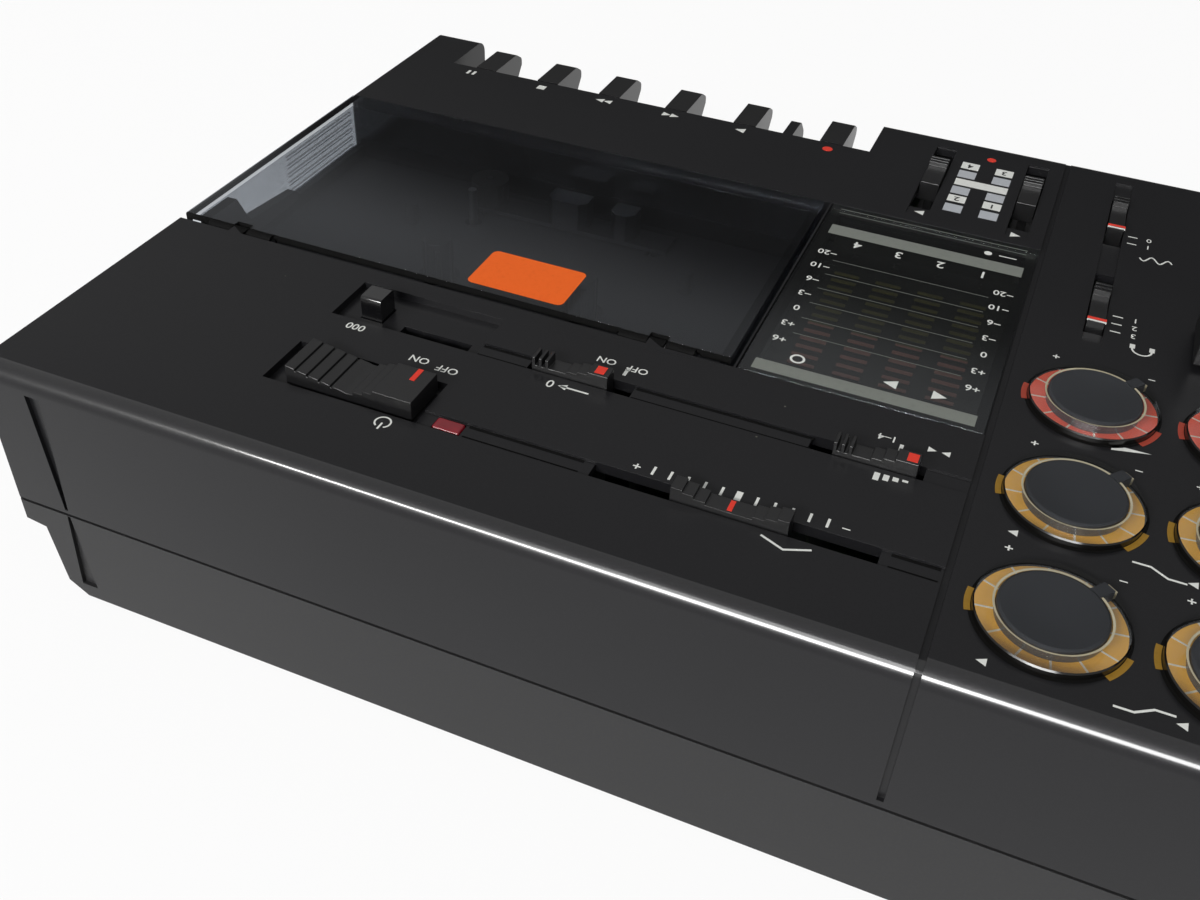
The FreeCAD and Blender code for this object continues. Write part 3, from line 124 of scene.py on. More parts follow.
class KnobSettings(PropertyGroup):
    cap_radius: size_setting("Cap radius", "Radius of the black cap", 10.1)
    skirt_radius: size_setting("Skirt radius", "Radius of the clear skirt", 13.9)
    skirt_foot: size_setting("Skirt foot", "Height of the skirt over the panel where it meets the cap", 2.5)
    skirt_rim: size_setting("Skirt rim", "Height of the skirt's rim over the panel", 1.7)
    cap_height: size_setting("Cap height", "Height of the cap over the panel", 2.9)
    dish: size_setting("Dish", "Depth of the hollow in the cap", 0.35)
    ring_radius: size_setting("Ring radius", "Outer radius of the printed ring", 13.6)
    # painted shadow: the matt black ring round each skirt reaches out to this radius
    gap_radius: size_setting("Shadow ring radius", "Outer radius of the painted shadow round the skirt", 14.5)
    tab_radius: size_setting("Tab radius", "Outer radius of the ring's two tabs", 15.2)
    tick_width: size_setting("Tick width", "Width of the ring's ticks", 0.4)
    tick_count: IntProperty(name="Ticks", description="Ticks round a knob", default=12, min=2, max=36)
    mustard: colour_setting("Mustard", "Ring colour of the tone rows", srgb(232, 176, 42))
    red: colour_setting("Red", "Ring colour of the level row", srgb(238, 92, 66))


class MeterSettings(PropertyGroup):
    bar_length: size_setting("Bar length", "Length of a level bar", 6.4)
    bar_width: size_setting("Bar width", "Width of a level bar", 1.1)
    peak: colour_setting("Peak bars", "Colour of the upper bars, unlit", srgb(150, 98, 92))
    normal: colour_setting("Normal bars", "Colour of the lower bars, unlit", srgb(92, 88, 44))
    smoke: share_setting("Smoke", "Light that one face of the window lets through", 0.72)


class LidSettings(PropertyGroup):
    smoke: share_setting("Smoke", "Light that one face of the lid lets through", 0.62)
    skirt: share_setting("Skirt", "Light that one face of the lid's right skirt lets through", 0.93)
    # painted shade: the ribs' faces let less light through than the skirt, for the ribs' dark stripes
    rib: share_setting("Rib", "Light that the upper or lower face of a finger rib lets through", 0.5)
    label: colour_setting("Label", "Colour of the blank label", srgb(240, 98, 0))
    label_length: size_setting("Label length", "Length of the blank label", 25.4)
    label_width: size_setting("Label width", "Width of the blank label", 16.0)


class StageSettings(PropertyGroup):
    floor: colour_setting("Floor", "Colour of the floor", (0.9, 0.9, 0.9))
    window_power: strength_setting("Window light", "Power of the window light in watts", 80.0)
    window_glint: strength_setting("Window glint", "Strength of the mirrored window", 18.0)
    sky: strength_setting("Room light", "Strength of the room's even light", 0.4)
    lens: FloatProperty(name="Lens", description="Focal length of the camera", default=37.65, unit="CAMERA")


class RecorderSettings(PropertyGroup):
    case: PointerProperty(type=CaseSettings)
    knob: PointerProperty(type=KnobSettings)
    meter: PointerProperty(type=MeterSettings)
    lid: PointerProperty(type=LidSettings)
    stage: PointerProperty(type=StageSettings)


def settings():
    return bpy.context.scene.recorder


# ---- nodes written as Python ---------------------------------------------------------------------
def operation(kind, swapped=False):
    """A method that stands for an operator and adds a Math node."""
    def method(value, other):
        return value.math(kind, other, value) if swapped else value.math(kind, value, other)
    return method


class Value:
    """A socket of a node tree; sums and products of it add Math nodes to its tree."""

    def __init__(self, graph, socket):
        self.graph = graph
        self.socket = socket

    def math(self, operation, *values):
        return self.graph.add("ShaderNodeMath", {"operation": operation}, dict(enumerate(values)))

    __add__ = __radd__ = operation("ADD")
    __sub__, __rsub__ = operation("SUBTRACT"), operation("SUBTRACT", swapped=True)
    __mul__ = __rmul__ = operation("MULTIPLY")
    __truediv__ = operation("DIVIDE")
    __gt__, __lt__ = operation("GREATER_THAN"), operation("LESS_THAN")

    def ease(self, low, high):
        """0 below low, 1 above high, and a smooth rise between them."""
        return self.graph.add(
            "ShaderNodeMapRange", {"interpolation_type": "SMOOTHSTEP"},
            {"Value": self, "From Min": low, "From Max": high},
        )

    def out(self, name):
        """Another output of the node that this value comes from."""
        return Value(self.graph, self.socket.node.outputs[name])


class Graph:
    """Adds nodes to one tree."""

    def __init__(self, tree):
        self.tree = tree

    def add(self, kind, settings=None, values=None, out=0):
        node = self.tree.nodes.new(kind)
        for name, value in (settings or {}).items():
            setattr(node, name, value)
        for name, value in (values or {}).items():
            socket = node.inputs[name]
            if isinstance(value, Value):
                self.tree.links.new(value.socket, socket)
            else:
                socket.default_value = value
        return Value(self, node.outputs[out]) if node.outputs else node

    def mix(self, factor, first, second):
        """A colour between two colours."""
        return self.add("ShaderNodeMix", {"data_type": "RGBA"}, {0: factor, 6: first, 7: second}, 2)

    def tones(self, factor, dark, light):
        """A colour between two that are given as 0 to 255 on screen."""
        return self.mix(factor, rgba(srgb(*dark)), rgba(srgb(*light)))

    def blend(self, factor, first, second):
        """A surface between two surfaces."""
        return self.add("ShaderNodeMixShader", None, {0: factor, 1: first, 2: second})

    def clear(self, colour):
        """A surface that only tints what lies behind it."""
        return self.add("ShaderNodeBsdfTransparent", None, {"Color": rgba(colour)})

    def facing(self):
        """0 face on and 1 at a glancing angle."""
        return self.add("ShaderNodeLayerWeight", None, {"Blend": 0.5}, "Facing")

    def spot(self):
        """Object coordinates one by one."""
        return self.add("ShaderNodeSeparateXYZ", None, {0: self.place()})

    def place(self, offset=(0, 0, 0), scale=(1, 1, 1)):
        """Object coordinates, moved and stretched."""
        place = self.add("ShaderNodeTexCoord").out("Object")
        return self.add("ShaderNodeMapping", None, {"Vector": place, "Location": offset, "Scale": scale})

    def noise(self, scale, detail=2.0, stretch=(1, 1, 1)):
        values = {"Vector": self.place(scale=stretch), "Scale": scale, "Detail": detail}
        return self.add("ShaderNodeTexNoise", None, values)

    def specks(self, per_metre, radius, rarity):
        """1 on small round specks, spread thinly."""
        cells = self.add(
            "ShaderNodeTexVoronoi", {"feature": "F1"}, {"Vector": self.place(), "Scale": per_metre}
        )
        patch = self.noise(per_metre * 0.31, 1.0)
        return (cells.out("Distance") < radius) * (patch > rarity)

    def bump(self, height, strength, distance):
        return self.add(
            "ShaderNodeBump", None, {"Height": height, "Strength": strength, "Distance": distance}
        )


def rgba(colour):
    return (*colour, 1.0)


def material(name, build):
    """The finish of that name, made on first use. build gets a graph and returns the surface."""
    found = bpy.data.materials.get(name)
    if found:
        return found
    made = bpy.data.materials.new(name)
    made.use_nodes = True
    made.node_tree.nodes.clear()
    graph = Graph(made.node_tree)
    surface = build(graph)
    graph.add("ShaderNodeOutputMaterial", None, {"Surface": surface})
    return made


def principled(graph, colour, roughness, **others):
    """The plain surface; other sockets are named with underscores for spaces."""
    values = {"Base Color": colour if isinstance(colour, Value) else rgba(colour), "Roughness": roughness}
    for name, value in others.items():
        values[name.replace("_", " ")] = value
    return graph.add("ShaderNodeBsdfPrincipled", None, values)


def shade(colour, factor):
    return tuple(min(1.0, part * factor) for part in colour)


# ---- finishes ------------------------------------------------------------------------------------
def worn_edge(graph):
    """1 on the round along the rear top edge, which hands have polished."""
    spot = graph.spot()
    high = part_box("upper_case")[1]
    behind = spot.out("Y") > high.y - EDGE_SHINE * MM
    return behind * spot.out("Z").ease(high.z - 2.6 * MM, high.z - 1.7 * MM)


def moulded_plastic(name, colour, roughness, grain, dusty=True, shine=0.25):
    """Grained plastic with slight clouding, a polished rear edge, and dust specks."""
    def build(graph):
        cloud = graph.noise(14.0, 3.0)
        fine = graph.noise(1500.0, 2.0)
        coarse = graph.noise(520.0, 2.0)
        body = graph.mix(cloud, rgba(shade(colour, 0.86)), rgba(shade(colour, 1.16)))
        body = graph.mix(fine.ease(0.45, 0.7) * 0.3, body, rgba(shade(colour, 1.6)))
        if dusty:
            dust = graph.specks(70.0, 0.016, 0.56)
            body = graph.mix(dust * 0.45, body, rgba(srgb(130, 128, 120)))
        worn = worn_edge(graph)
        rough = roughness - 0.05 + 0.08 * cloud + 0.06 * fine
        relief = graph.bump((fine + 0.6 * coarse) * (1.0 - worn), 0.3, grain)
        return principled(
            graph, body, rough, Normal=relief, Specular_IOR_Level=shine, Coat_Weight=worn, Coat_Roughness=0.12
        )
    return material(name, build)


def case_plastic():
    case = settings().case
    return moulded_plastic("grained case plastic", tuple(case.plastic), 0.3, case.grain)


def lower_plastic():
    case = settings().case
    return moulded_plastic("grained lower plastic", tuple(case.lower), 0.42, case.grain)


def satin_plastic():
    case = settings().case
    return moulded_plastic("satin black plastic", tuple(case.satin), 0.3, case.grain * 0.5, False, 0.5)


def clouded(name, cloud, dark, light, roughness, grain=None, relief=None, grain_wears=False, **others):
    """A finish between two near tones.

    cloud and grain are the scale and detail of a noise, roughness is its least value and its spread,
    and relief is the strength and depth of the grain in metres.
    """
    def build(graph):
        patch = graph.noise(*cloud)
        fine = graph.noise(*grain) if grain else patch
        if relief:
            others["Normal"] = graph.bump(fine, *relief)
        least, spread = roughness
        worn = fine if grain_wears else patch
        return principled(graph, graph.tones(patch, dark, light), least + spread * worn, **others)
    return material(name, build)


def cap_rubber():
    """Soft black paint of the knob caps."""
    return clouded(
        "soft cap black", (60.0, 2.0), (32, 34, 37), (45, 47, 51), (0.46, 0.1), (2400.0, 1.0), (0.2, 0.00003),
        Specular_IOR_Level=0.35,
    )


def gloss_plastic():
    return clouded(
        "polished black plastic", (90.0, 2.0), (12, 12, 13), (20, 20, 22), (0.14, 0.12),
        (400.0, 2.0, (0.15, 1, 1)), grain_wears=True, Coat_Weight=0.5, Coat_Roughness=0.08,
    )


def gap_black():
    """Painted shade, matt: black laid where narrow gaps, the sunk bands' edges, the gap behind the lid, the
    lid's rear faces and the knobs' skirts are in shade.
    """
    return clouded("painted gap shade", (300.0, 2.0), (4, 4, 4), (9, 9, 9), (0.7, 0.1), Specular_IOR_Level=0.1)


def skirt_lip():
    """Painted highlight: an opaque pale cream on the lip of a knob's skirt at the cap's foot and on the
    pointer's end, for the light these polished edges catch.
    """
    return clouded(
        "acrylic edge with painted highlight", (220.0, 2.0), (150, 142, 116), (196, 188, 160), (0.16, 0.1),
        Coat_Weight=0.6, Coat_Roughness=0.06,
    )


def dark_paint():
    return clouded(
        "dark deck paint", (20.0, 3.0), (34, 34, 36), (48, 48, 51), (0.5, 0.2), (1100.0, 2.0), (0.25, 0.00005)
    )


def rubber():
    return clouded(
        "matt rubber", (50.0, 2.0), (20, 20, 20), (34, 33, 32), (0.72, 0.15),
        (800.0, 3.0), (0.3, 0.00006), grain_wears=True,
    )


def red_lens():
    return clouded(
        "red lens", (260.0, 2.0), (100, 6, 20), (138, 14, 32), (0.2, 0.1),
        Coat_Weight=0.2, Coat_Roughness=0.05,
    )


def printed(name, colour, wear=0.18):
    """Screen printed ink, a touch uneven."""
    def build(graph):
        patch = graph.noise(900.0, 2.0)
        body = graph.mix(patch.ease(0.5, 0.8) * wear, rgba(colour), rgba(shade(colour, 0.55)))
        return principled(graph, body, 0.45 + 0.15 * patch)
    return material(name, build)


def white_ink():
    return printed("white ink", tuple(settings().case.ink))


def grey_ink():
    return printed("grey ink", tuple(settings().case.band))


def red_ink():
    return printed("red ink", tuple(settings().case.accent), 0.1)


def mirror_share(graph, face_on=0.035):
    """How much of the light a polished face mirrors: little face on, nearly all at a glancing angle."""
    glancing = graph.facing()
    return face_on + (1.0 - face_on) * glancing.math("POWER", glancing, 5.0)


def mirror(graph, roughness):
    values = {"Color": (0.92, 0.95, 1.0, 1), "Roughness": roughness}
    return graph.add("ShaderNodeBsdfAnisotropic", None, values)


def pane(name, through, tint, roughness):
    """A face of smoked acrylic: it tints what is behind it, mirrors a little, and carries film and dust."""
    def build(graph):
        haze = graph.noise(45.0, 3.0)
        clear = graph.clear([through * part for part in tint])
        glass = graph.blend(mirror_share(graph), clear, mirror(graph, roughness + 0.02 * haze))
        grease = principled(graph, (0.06, 0.06, 0.062), 0.6)
        surface = graph.blend(0.04 * (0.6 + 0.8 * haze), glass, grease)
        speck = principled(graph, srgb(112, 110, 104), 0.7)
        return graph.blend(graph.specks(110.0, 0.02, 0.6) * 0.45, surface, speck)
    return material(name, build)


def skirt_acrylic():
    """The cone of a knob's clear skirt: light that goes straight in ends on the black cap inside it."""
    def build(graph):
        straight, slanting = graph.clear((0.26, 0.24, 0.22)), graph.clear((0.98, 0.97, 0.94))
        clear = graph.blend(graph.facing().ease(0.13, 0.28), straight, slanting)
        sheen = mirror(graph, 0.1 + 0.1 * graph.noise(160.0, 2.0))
        return graph.blend(mirror_share(graph, 0.07), clear, sheen)
    return material("clear acrylic", build)


def skirt_wall():
    """The skirt's upright wall: it looks black from outside and clear from inside, as thick acrylic does; the
    black outside is partly painted shade, for the shadow under the skirt's rim.
    """
    def build(graph):
        inside = graph.add("ShaderNodeNewGeometry").out("Backfacing")
        dark = principled(graph, srgb(14, 13, 12), 0.1 + 0.1 * graph.noise(160.0, 2.0))
        return graph.blend(inside, dark, graph.clear((0.9, 0.9, 0.88)))
    return material("skirt wall with painted shade", build)


def metal(name, colour, roughness, lines):
    """Brushed metal; lines stretches the brushing across each axis."""
    def build(graph):
        brushed = graph.noise(260.0, 4.0, lines)
        stain = graph.noise(30.0, 3.0)
        body = graph.mix(stain.ease(0.4, 0.8) * 0.5, rgba(colour), rgba(shade(colour, 0.7)))
        relief = graph.bump(brushed, 0.15, 0.00005)
        return principled(graph, body, roughness + 0.22 * brushed * stain, Metallic=1.0, Normal=relief)
    return material(name, build)


def steel():
    return metal("plain steel", (0.5, 0.5, 0.51), 0.24, (1, 14, 14))


def dark_steel():
    return metal("blued steel", (0.16, 0.16, 0.17), 0.34, (1, 14, 14))


def brass():
    return metal("turned brass", (0.68, 0.5, 0.22), 0.22, (12, 12, 1))


def circuit_board():
    """Green board with fine copper tracks under its varnish; raised parts are dark. The green is kept very
    dark, partly the board's own colour and partly painted shade for the dark inside the panel's slots.
    """
    def build(graph):
        cells = graph.add(
            "ShaderNodeTexVoronoi", {"feature": "DISTANCE_TO_EDGE", "distance": "MANHATTAN"},
            {"Vector": graph.place(), "Scale": 240.0},
        )
        cloud = graph.noise(40.0, 2.0)
        board = graph.tones(cloud, (14, 34, 22), (20, 44, 27))
        board = graph.mix(cells < 0.07, board, rgba(srgb(44, 66, 38)))
        raised = graph.spot().out("Z") > (PANEL_Z - 11.0) * MM
        body = graph.mix(raised, board, rgba(srgb(30, 30, 32)))
        return principled(graph, body, 0.34 + 0.2 * cloud)
    return material("varnished board", build)


def socket_finish():
    """Black socket bodies with a nickel collar round each jack."""
    jack_z, collar_radius, collar_y = 42.0, 5.2, -105.5
    def build(graph):
        spot = graph.spot()
        step = KNOB_PITCH * MM
        along = graph.add(
            "ShaderNodeMath", {"operation": "WRAP"},
            {0: spot.out("X") - KNOB_XS[0] * MM, 1: step / 2, 2: -step / 2},
        )
        rise = spot.out("Z") - jack_z * MM
        square = along * along + rise * rise
        collar = (square.math("SQRT", square) < collar_radius * MM) * (spot.out("Y") < collar_y * MM)
        cloud = graph.noise(120.0, 2.0)
        body = graph.mix(collar, rgba(srgb(26, 26, 27)), rgba((0.55, 0.54, 0.5)))
        return principled(graph, body, 0.45 - 0.18 * collar + 0.1 * cloud, Metallic=collar)
    return material("sockets with nickel collars", build)


def led_finish():
    """Unlit level bars: reddish at the peak end, olive below."""
    meter = settings().meter
    def build(graph):
        peak = graph.spot().out("Y") > LED_YS[7] * MM
        blotch = graph.noise(500.0, 2.0)
        body = graph.mix(peak, rgba(meter.normal), rgba(meter.peak))
        body = graph.mix(blotch * 0.5, body, rgba(srgb(40, 36, 30)))
        return principled(graph, body, 0.3 + 0.2 * blotch)
    return material("level bars", build)


# ---- meshes --------------------------------------------------------------------------------------
def placed(name, data):
    """An object of the scene that carries the data."""
    made = bpy.data.objects.new(name, data)
    bpy.context.scene.collection.objects.link(made)
    return made


def as_mesh(shape, name):
    """Turns a bmesh into a mesh and frees it."""
    mesh = bpy.data.meshes.new(name)
    shape.to_mesh(mesh)
    shape.free()
    return mesh


def scaled_mesh(shape, name):
    """Turns a bmesh in millimetres into a mesh in metres."""
    bmesh.ops.transform(shape, matrix=Matrix.Scale(MM, 4), verts=shape.verts)
    return as_mesh(shape, name)


def keep(mesh, name, finishes, body):
    """Makes a mesh a piece that rides on a body."""
    for place, finish in enumerate(finishes):
        if place < len(mesh.materials):
            mesh.materials[place] = finish
        else:
            mesh.materials.append(finish)
    piece = placed(name, mesh)
    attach(piece, body)
    return piece


def finished(shape, name, finishes, body, smooth=None):
    """Makes a bmesh in millimetres a piece."""
    mesh = scaled_mesh(shape, name)
    if smooth is not None:
        mesh.shade_smooth()
        mesh.set_sharp_from_angle(angle=math.radians(smooth))
    return keep(mesh, name, finishes, body)


def evaluated(obj):
    """The object's mesh with its modifiers in it; the object goes."""
    depsgraph = bpy.context.evaluated_depsgraph_get()
    mesh = bpy.data.meshes.new_from_object(obj.evaluated_get(depsgraph), depsgraph=depsgraph)
    bpy.data.objects.remove(obj)
    return mesh


def softened(mesh, width, segments=2, angle=32.0):
    """A mesh with its hard edges rounded and its flat faces kept flat."""
    holder = placed("softened", mesh)
    bevel = holder.modifiers.new("Bevel", "BEVEL")
    bevel.width, bevel.segments = width, segments
    bevel.limit_method, bevel.angle_limit = "ANGLE", math.radians(angle)
    bevel.use_clamp_overlap = True
    bevel.miter_outer = "MITER_ARC"
    weighted = holder.modifiers.new("Weighted", "WEIGHTED_NORMAL")
    weighted.keep_sharp = True
    mesh.shade_smooth()
    return evaluated(holder)


def merged_copy(node, dissolve=0.6):
    """A bmesh of a frame node's shape, in metres, with its loose triangles joined into faces."""
    shape = bmesh.new()
    shape.from_mesh(NODES[node].data)
    bmesh.ops.remove_doubles(shape, verts=shape.verts, dist=0.004 * MM)
    bmesh.ops.dissolve_limit(
        shape, angle_limit=math.radians(dissolve), verts=shape.verts, edges=shape.edges,
        use_dissolve_boundaries=False,
    )
    return shape


def softened_node(node, body, finish, width=None, segments=2, split=False):
    """A piece with a frame node's shape and rounded edges, which stands for the node.

    With split its faces are made triangles first, so that a wall with many holes keeps them open.
    """
    shape = merged_copy(node)
    if split:
        bmesh.ops.triangulate(shape, faces=shape.faces)
    mesh = softened(as_mesh(shape, node), width or settings().case.edge, segments)
    piece = keep(mesh, "soft_" + node, [finish], body)
    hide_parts(node)
    return piece


def add_box(shape, low, high, index=0):
    """Adds a closed box to a bmesh."""
    made = bmesh.ops.create_cube(shape, size=1.0)["verts"]
    for vert in made:
        vert.co = Vector(high[axis] if vert.co[axis] > 0 else low[axis] for axis in range(3))
    for face in {face for vert in made for face in vert.link_faces}:
        face.material_index = index
    return made


def add_flat(shape, points, z, index=0):
    """Adds one flat face with its front upwards."""
    verts = [shape.verts.new((x, y, z)) for x, y in points]
    face = shape.faces.new(verts)
    face.normal_update()
    if face.normal.z < 0:
        face.normal_flip()
    face.material_index = index


def add_bar(shape, x0, x1, y0, y1, z, index=0):
    add_flat(shape, [(x0, y0), (x1, y0), (x1, y1), (x0, y1)], z, index)


def circle(x, y, radius, count=24, start=0.0, end=360.0):
    full = end - start >= 360
    steps = count if full else count - 1
    angles = [math.radians(start + (end - start) * i / steps) for i in range(count)]
    return [(x + radius * math.cos(a), y + radius * math.sin(a)) for a in angles]


def add_line(shape, points, width, z, index=0):
    """Adds a flat line of even width with mitred corners through points."""
    left, right = [], []
    for i, point in enumerate(points):
        here = Vector(point)
        before = (here - Vector(points[i - 1])).normalized() if i else None
        after = (Vector(points[i + 1]) - here).normalized() if i < len(points) - 1 else None
        along = ((before or after) + (after or before)).normalized()
        side = Vector((-along.y, along.x))
        reach = width / 2 / max(0.4, side.dot(Vector((-(after or before).y, (after or before).x))))
        left.append(here + side * reach)
        right.append(here - side * reach)
    for i in range(len(points) - 1):
        add_flat(shape, [right[i], right[i + 1], left[i + 1], left[i]], z, index)


def add_ring(shape, x, y, inner, outer, z, start=0.0, end=360.0, index=0, count=48):
    ins, outs = circle(x, y, inner, count, start, end), circle(x, y, outer, count, start, end)
    last = count if end - start >= 360 else count - 1
    for i in range(last):
        j = (i + 1) % count
        add_flat(shape, [ins[i], outs[i], outs[j], ins[j]], z, index)


def add_text(shape, words, x, y, height, z, index=0, bold=0.0):
    """Adds flat lettering, its middle at x, y and its capitals of that height."""
    curve = bpy.data.curves.new("lettering", "FONT")
    curve.body, curve.align_x, curve.align_y = words, "CENTER", "CENTER"
    curve.size = height / 0.72
    curve.offset = bold
    curve.resolution_u = 3
    mesh = evaluated(placed("lettering", curve))
    letters = bmesh.new()
    letters.from_mesh(mesh)
    bmesh.ops.transform(letters, matrix=Matrix.Translation((x, y, z)), verts=letters.verts)
    for face in letters.faces:
        face.material_index = index
        if face.normal.z < 0:
            face.normal_flip()
    letters.to_mesh(mesh)
    letters.free()
    shape.from_mesh(mesh)
    bpy.data.meshes.remove(mesh)
    bpy.data.curves.remove(curve)


def revolved(shape, profile, x, y, count=64, indices=None):
    """Adds a closed turned shape: profile is (radius, height) from the axis or edge outwards and back."""
    rings = []
    for radius, z in profile:
        around = [(x, y)] if radius < 1e-6 else circle(x, y, radius, count)
        rings.append([shape.verts.new((px, py, z)) for px, py in around])
    for k in range(len(rings) - 1):
        low, high = rings[k], rings[k + 1]
        for i in range(count):
            j = (i + 1) % count
            if len(low) == 1:
                corners = [low[0], high[j], high[i]]
            elif len(high) == 1:
                corners = [low[i], low[j], high[0]]
            else:
                corners = [low[i], low[j], high[j], high[i]]
            shape.faces.new(corners).material_index = indices[k] if indices else 0


# ---- patterns of bars made with Geometry Nodes ---------------------------------------------------
def bar_pattern():
    """A tree that lays rounded bars on a grid, or on the spokes of wheels on that grid."""
    name = "rounded bars"
    if name in bpy.data.node_groups:
        return bpy.data.node_groups[name]
    tree = bpy.data.node_groups.new(name, "GeometryNodeTree")
    inputs = {
        "Float": {
            "Length": 5 * MM, "Width": 1 * MM, "Height": 0.3 * MM, "Corner": 0.2 * MM,
            "Pitch X": 10 * MM, "Pitch Y": 4 * MM, "Radius": 0.0, "First Angle": 0.0,
        },
        "Int": {"Columns": 1, "Rows": 1, "Spokes": 1},
    }
    for kind, defaults in inputs.items():
        for label, default in defaults.items():
            made = tree.interface.new_socket(label, in_out="INPUT", socket_type="NodeSocket" + kind)
            made.default_value = default
    tree.interface.new_socket("Place", in_out="INPUT", socket_type="NodeSocketVector")
    tree.interface.new_socket("Finish", in_out="INPUT", socket_type="NodeSocketMaterial")
    tree.interface.new_socket("Bars", in_out="OUTPUT", socket_type="NodeSocketGeometry")
    graph = Graph(tree)
    given = graph.add("NodeGroupInput").out

    def put(kind, values=None, **settings):
        return graph.add("GeometryNode" + kind, settings, values)

    outline = put("CurvePrimitiveQuadrilateral", {"Width": given("Length"), "Height": given("Width")})
    corner = {"Curve": outline, "Radius": given("Corner"), "Count": 2, "Limit Radius": True}
    outline = put("FilletCurve", corner, mode="POLY")
    foot = put("FillCurve", {"Curve": outline}, mode="NGONS")
    raised = put("ExtrudeMesh", {"Mesh": foot, "Offset Scale": given("Height"), "Individual": False})
    under = put("FlipFaces", {"Mesh": foot})
    whole = put("JoinGeometry")
    for part in (raised, under):
        tree.links.new(part.socket, whole.socket.node.inputs[0])
    bar = put("MergeByDistance", {"Geometry": whole, "Distance": 1e-6})
    reach = graph.add("ShaderNodeCombineXYZ", None, {"X": given("Radius")})
    bar = put("Transform", {"Geometry": bar, "Translation": reach})
    angle = given("First Angle") + put("InputIndex") * (2 * math.pi) / given("Spokes")
    spin = graph.add("ShaderNodeCombineXYZ", None, {"Z": angle})
    hub = put("MeshLine", {"Count": given("Spokes"), "Offset": (0, 0, 0)}, mode="OFFSET")
    wheel = put("InstanceOnPoints", {"Points": hub, "Instance": bar, "Rotation": spin})
    grid = put("MeshGrid", {
        "Size X": given("Pitch X") * (given("Columns") - 1),
        "Size Y": given("Pitch Y") * (given("Rows") - 1),
        "Vertices X": given("Columns"), "Vertices Y": given("Rows"),
    })
    field = put("InstanceOnPoints", {"Points": grid, "Instance": wheel})
    field = put("Transform", {"Geometry": field, "Translation": given("Place")})
    field = put("RealizeInstances", {"Geometry": field})
    field = put("SetMaterial", {"Geometry": field, "Material": given("Finish")})
    graph.add("NodeGroupOutput", None, {"Bars": field})
    return tree


def patterned(name, finish, body, place, sizes, counts):
    """A piece made by the bar pattern; sizes and place are in millimetres."""
    tree = bar_pattern()
    keys = {item.name: item.identifier for item in tree.interface.items_tree if item.in_out == "INPUT"}
    holder = placed(name, bpy.data.meshes.new(name))
    modifier = holder.modifiers.new("Pattern", "NODES")
    modifier.node_group = tree
    for label, value in sizes.items():
        modifier[keys[label]] = float(value) if label == "First Angle" else value * MM
    for label, value in counts.items():
        modifier[keys[label]] = value
    modifier[keys["Place"]] = [part * MM for part in place]
    modifier[keys["Finish"]] = finish
    return keep(evaluated(holder), name, [finish], body)


# ---- pieces --------------------------------------------------------------------------------------
class RECORDER_OT_case(Operator):
    """Gives the case, feet, screws and boards their finishes"""

    bl_idname = "recorder.case"
    bl_label = "Case"

    def execute(self, context):
        case = softened_node("upper_case", CHASSIS, case_plastic(), 0.25 * MM, split=True)
        case.data.materials.append(gap_black())
        # painted shade: the case's faces in the gap behind the lid's rear edge take the matt black shade
        # finish, for the shade there
        low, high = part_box("cassette_lid")
        for face in case.data.polygons:
            x, y, z = face.center
            in_gap = low.x < x < high.x - 2.0 * MM and 2.0 * MM > y - LID_REAR * MM > -2.0 * MM
            if in_gap and z < high.z - 0.05 * MM:
                face.material_index = 1
        softened_node("lower_case", CHASSIS, lower_plastic(), 0.3 * MM)
        NODES["rubber_feet"].data.materials[0] = rubber()
        NODES["case_screws"].data.materials[0] = steel()
        NODES["circuit_boards"].data.materials[0] = circuit_board()
        NODES["sockets"].data.materials[0] = socket_finish()
        return {"FINISHED"}


class RECORDER_OT_transport(Operator):
    """Gives the tape transport its metal, rubber and paint"""

    bl_idname = "recorder.transport"
    bl_label = "Tape transport"

    def execute(self, context):
        finishes = {
            "deck_plate": dark_paint, "transport_frame": steel, "pivot_pins": steel, "capstan": steel,
            "head_bridge": dark_steel, "motor_pulley": brass, "drive_belt": rubber, "pinch_roller": rubber,
        }
        for node, finish in finishes.items():
            NODES[node].data.materials[0] = finish()
        for name in ("supply_spindle", "takeup_spindle"):
            softened_node(name, name, satin_plastic())
        return {"FINISHED"}


def add_triangle(shape, x, y, size, direction, index=0):
    """A solid triangle that points along +x or -x."""
    half = size / 2
    foot, tip = x - direction * half, x + direction * half
    add_flat(shape, [(foot, y - half), (tip, y), (foot, y + half)], INK_Z, index)


# What the panel says: words, x, y, height, boldness
PANEL_WORDS = [
    ("−", 19.5, 76.2, 2.4, 0.02), ("+", 62.7, 76.2, 2.4, 0.04),
    ("ON", 119.7, 63.2, 2.2, 0.03), ("OFF", 112.4, 64.0, 2.2, 0.03),
    ("ON", 82.2, 45.4, 2.1, 0.03), ("OFF", 74.7, 45.8, 2.1, 0.03),
    ("000", 139.0, 58.3, 2.3, 0.03), ("0", 90.0, 58.6, 2.6, 0.03), ("1–4", 18.6, 45.2, 2.0, 0.03),
    ("3", -25.6, -17.9, 2.0, 0.02), ("2", -25.6, -21.5, 2.0, 0.02), ("1", -25.6, -25.0, 2.0, 0.02),
    ("1", -25.6, -63.2, 2.0, 0.02), ("0", -25.6, -67.0, 2.0, 0.02),
]
# Its lines: points and width
PANEL_LINES = [
    ([(24.0, 84.9), (29.0, 87.0), (34.0, 84.9)], 0.5),
    ([(115.6, 86.2), (115.6, 88.4)], 0.45),
    ([(87.6, 58.6), (81.0, 58.6)], 0.5),
]
# Its triangles: x, y, size and direction
PANEL_ARROWS = [
    (87.2, 58.6, 2.0, 1), (9.2, 45.2, 1.8, -1), (6.4, 45.2, 1.8, 1),
    (33.0, -54.7, 2.6, 1), (7.2, -53.8, 2.6, -1),
]
KEY_SIGN_Y = -80.2
